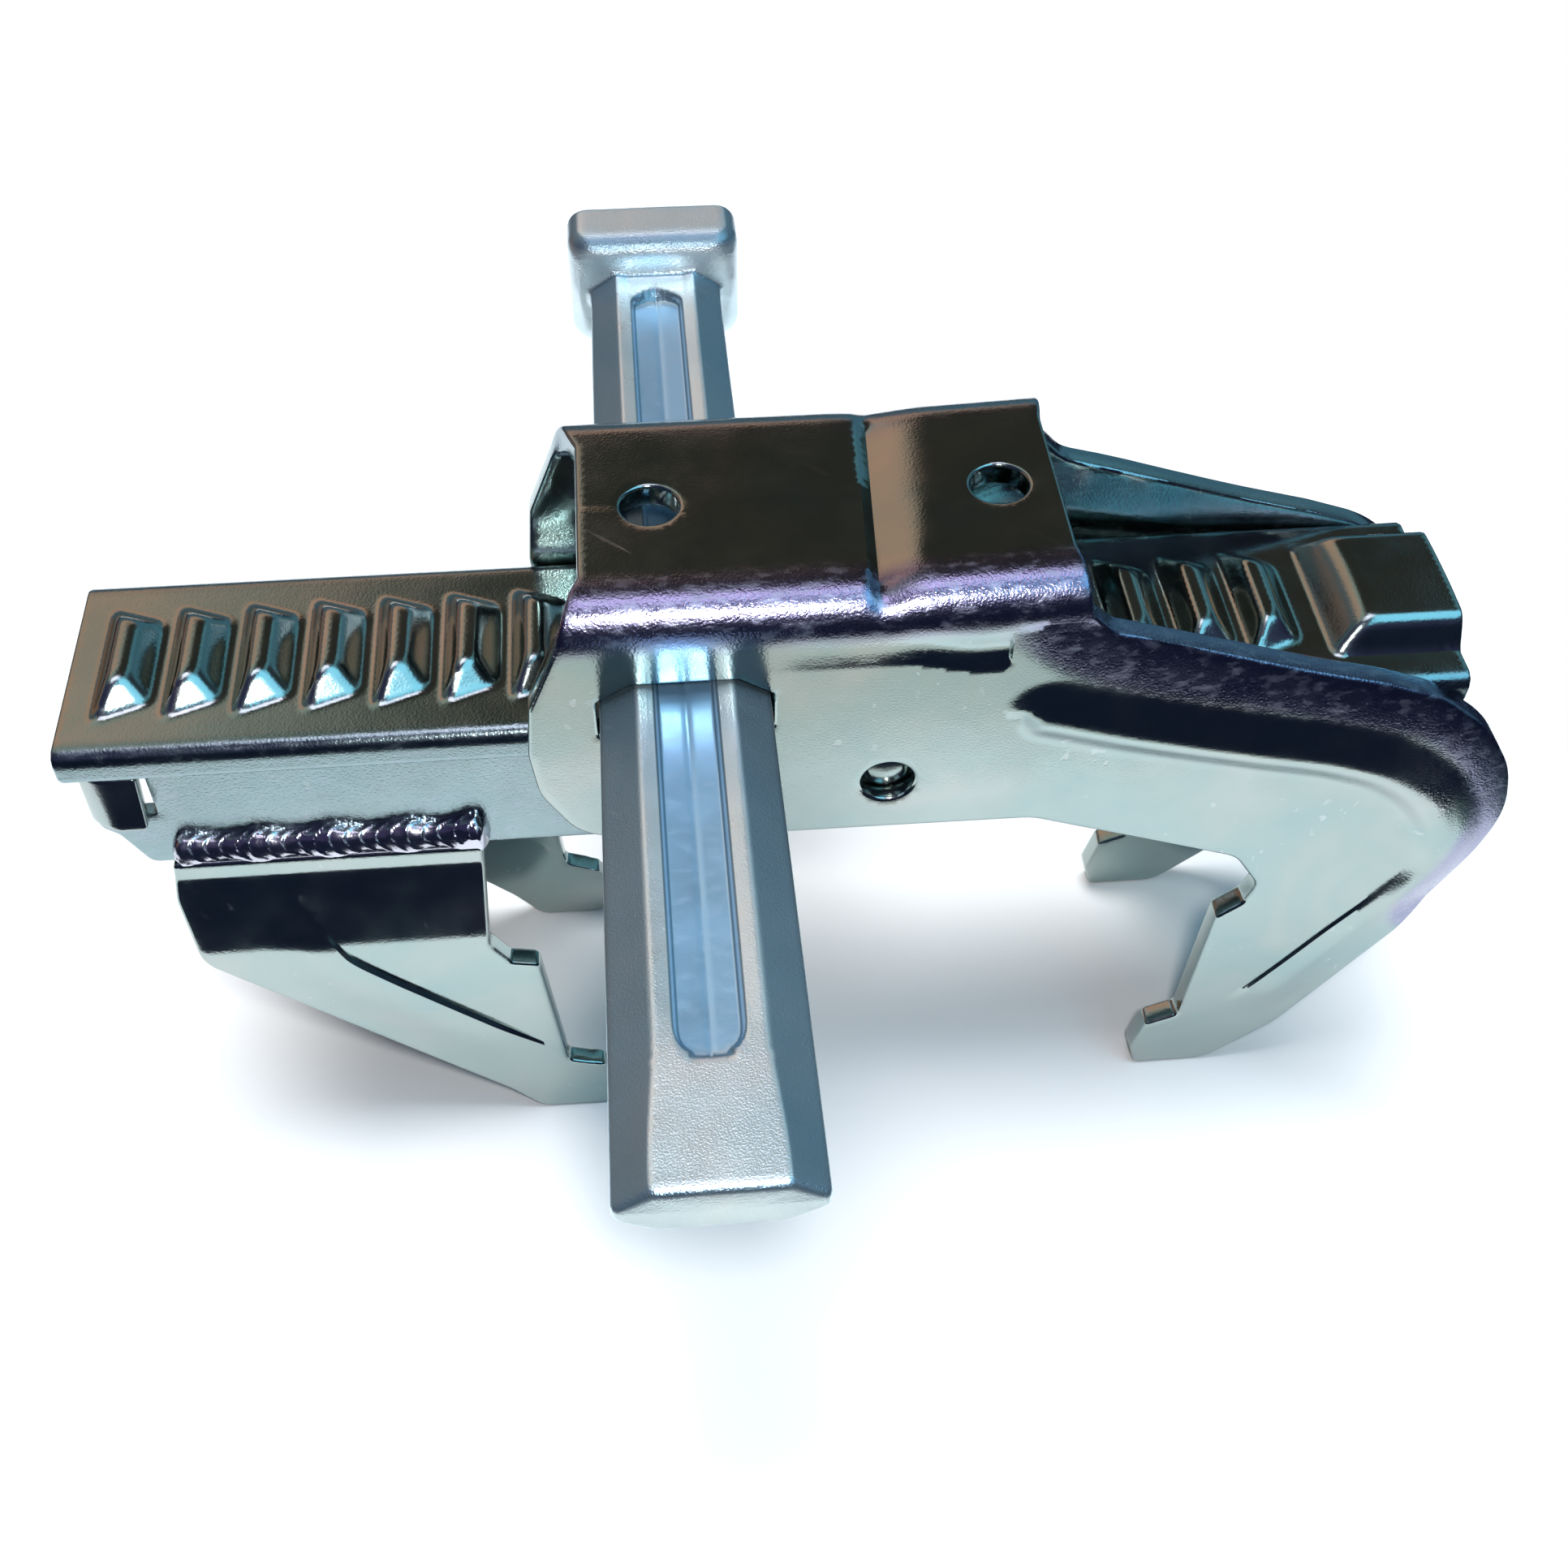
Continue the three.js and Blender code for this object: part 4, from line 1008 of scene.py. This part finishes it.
def make_table(name, near, far, mirrored_in_metal):
    """Pale table top, in a far and a near half; only the far one shows in the metal."""
    left, right = -0.40, 0.26
    corners = [(left, near, 0), (right, near, 0), (right, far, 0), (left, far, 0)]
    mesh = bpy.data.meshes.new(name)
    mesh.from_pydata([(x, y, z - 0.0004) for x, y, z in corners], [], [(0, 1, 2, 3)])
    table = bpy.data.objects.new(name, mesh)
    table.visible_glossy = mirrored_in_metal
    bpy.context.collection.objects.link(table)
    material = bpy.data.materials.new(name)
    material.use_nodes = True
    shader = material.node_tree.nodes["Principled BSDF"]
    texture = material.node_tree.nodes.new("ShaderNodeTexNoise")
    texture.inputs["Scale"].default_value = 6.0
    tone = ramp(material.node_tree.nodes, [(0.3, (0.83, 0.845, 0.84)), (0.7, (0.87, 0.875, 0.87))])
    material.node_tree.links.new(texture.outputs["Fac"], tone.inputs["Fac"])
    material.node_tree.links.new(tone.outputs["Color"], shader.inputs["Base Color"])
    shader.inputs["Roughness"].default_value = 0.75
    mesh.materials.append(material)


def make_room():
    """What the metal mirrors: a dark room, warm on the far left and cool towards the right.

    The camera itself sees plain white behind the table instead.
    """
    world = bpy.data.worlds.new("studio_room")
    bpy.context.scene.world = world
    world.use_nodes = True
    nodes, links = world.node_tree.nodes, world.node_tree.links
    nodes.clear()
    out = nodes.new("ShaderNodeOutputWorld")
    direction = nodes.new("ShaderNodeSeparateXYZ")
    links.new(nodes.new("ShaderNodeTexCoord").outputs["Generated"], direction.inputs["Vector"])

    def spread(socket, low, high):
        node = nodes.new("ShaderNodeMapRange")
        node.interpolation_type = "SMOOTHSTEP"
        node.inputs["From Min"].default_value = low
        node.inputs["From Max"].default_value = high
        links.new(socket, node.inputs["Value"])
        return node.outputs["Result"]

    def blend(factor, a, b):
        node = nodes.new("ShaderNodeMixRGB")
        links.new(factor, node.inputs["Fac"])
        for name, value in (("Color1", a), ("Color2", b)):
            if isinstance(value, tuple):
                node.inputs[name].default_value = (*value, 1.0)
            else:
                links.new(value, node.inputs[name])
        return node.outputs["Color"]

    x, y, z = (direction.outputs[axis] for axis in "XYZ")
    slanted = nodes.new("ShaderNodeMath")
    slanted.operation = "MULTIPLY_ADD"
    links.new(z, slanted.inputs[0])
    slanted.inputs[1].default_value = 2.0
    links.new(x, slanted.inputs[2])
    warm_side = slanted.outputs["Value"]
    # Behind the object.
    horizon = blend(spread(x, -0.72, -0.55), (0.34, 0.18, 0.12), (0.12, 0.18, 0.22))
    horizon = blend(spread(x, -0.1, 0.35), horizon, (0.10, 0.24, 0.32))
    upper = blend(spread(x, -0.30, -0.06), (0.50, 0.53, 0.47), (0.046, 0.042, 0.035))
    upper = blend(spread(warm_side, 0.97, 1.15), (0.78, 0.46, 0.33), upper)
    upper = blend(spread(x, -0.62, -0.50), (0.11, 0.16, 0.19), upper)
    upper = blend(spread(x, 0.42, 0.52), upper, (0.16, 0.36, 0.44))
    upper = blend(spread(x, 0.60, 0.72), upper, (0.04, 0.06, 0.08))
    back = blend(spread(z, 0.27, 0.47), horizon, upper)
    # On the camera's side: navy low down, violet above, bright cyan at the top right.
    high = blend(spread(x, 0.18, 0.26), (0.05, 0.045, 0.11), (0.60, 1.55, 2.1))
    front = blend(spread(z, 0.30, 0.55), (0.012, 0.018, 0.040), (0.05, 0.045, 0.11))
    front = blend(spread(z, 0.58, 0.70), front, high)
    room = blend(spread(y, -0.15, 0.20), front, back)
    # Below: pale straight down, darker towards the right, navy where the view is shallow.
    steep = blend(spread(x, 0.38, 0.58), (0.98, 1.02, 1.00), (0.18, 0.27, 0.28))
    below = blend(spread(z, -0.66, -0.56), steep, (0.012, 0.018, 0.040))
    room = blend(spread(z, -0.12, -0.02), below, room)
    # A bright patch overhead.
    room = blend(spread(z, 0.955, 0.995), room, (2.6, 2.4, 2.9))
    seen = nodes.new("ShaderNodeLightPath")
    backdrop = blend(seen.outputs["Is Camera Ray"], room, (1.0, 1.0, 1.0))
    shade = nodes.new("ShaderNodeBackground")
    shade.inputs["Strength"].default_value = 1.0
    links.new(backdrop, shade.inputs["Color"])
    links.new(shade.outputs["Background"], out.inputs["Surface"])


def add_light(name, place, target, size, power, color):
    light = bpy.data.lights.new(name, "AREA")
    light.shape = "DISK"
    light.size = size
    light.energy = power
    light.color = color
    holder = bpy.data.objects.new(name, light)
    holder.location = Vector(place)
    aim = Vector(target) - Vector(place)
    holder.rotation_mode = "QUATERNION"
    holder.rotation_quaternion = aim.to_track_quat("-Z", "Y")
    bpy.context.collection.objects.link(holder)


CAMERA_AT = np.array([-19.9, -306.4, 297.4])
CAMERA_ELEVATION, CAMERA_YAW, CAMERA_ROLL = map(math.radians, (48.858, 5.782, 0.948))
CAMERA_LENS, SENSOR = 41.875, 36.0


def make_camera():
    ahead = Vector((math.sin(CAMERA_YAW) * math.cos(CAMERA_ELEVATION),
                    math.cos(CAMERA_YAW) * math.cos(CAMERA_ELEVATION), -math.sin(CAMERA_ELEVATION)))
    right = Vector((math.cos(CAMERA_YAW), -math.sin(CAMERA_YAW), 0.0))
    up = right.cross(ahead)
    c, s = math.cos(CAMERA_ROLL), math.sin(CAMERA_ROLL)
    right, up = right * c + up * s, up * c - right * s
    data = bpy.data.cameras.new("camera")
    data.lens = CAMERA_LENS
    data.sensor_width = SENSOR
    camera = bpy.data.objects.new("camera", data)
    turn = Matrix((right, up, -ahead)).transposed()
    camera.matrix_world = Matrix.Translation(Vector(CAMERA_AT * MM + DATUM)) @ turn.to_4x4()
    data.clip_start, data.clip_end = 0.01, 20.0
    bpy.context.collection.objects.link(camera)
    bpy.context.scene.camera = camera
    return camera


make_rail_cap()
make_rail_channel()
for side_name, is_mirrored in (("front", True), ("rear", False)):
    make_jaw(side_name, is_mirrored)
    make_weld(side_name, is_mirrored)
    make_stud(side_name, is_mirrored)
make_slider()
make_wedge()
make_table("table_far", -0.155, 0.75, True)
make_table("table_near", -0.80, -0.155, False)
make_room()
camera = make_camera()
eye = camera.matrix_world.translation
add_light("flash", eye + Vector((0.02, -0.02, 0.07)), (0, 0, 0.1), 0.05, 1.3, (1.0, 0.98, 0.97))
sun = bpy.data.lights.new("soft_sky", "SUN")
sun.energy, sun.angle, sun.color = 3.45, math.radians(32), (0.97, 0.985, 1.0)
sky = bpy.data.objects.new("soft_sky", sun)
sky.rotation_euler = (math.radians(-8), math.radians(-5), 0.0)
sky.visible_glossy = False
bpy.context.collection.objects.link(sky)
bpy.context.scene.view_settings.view_transform = "Standard"
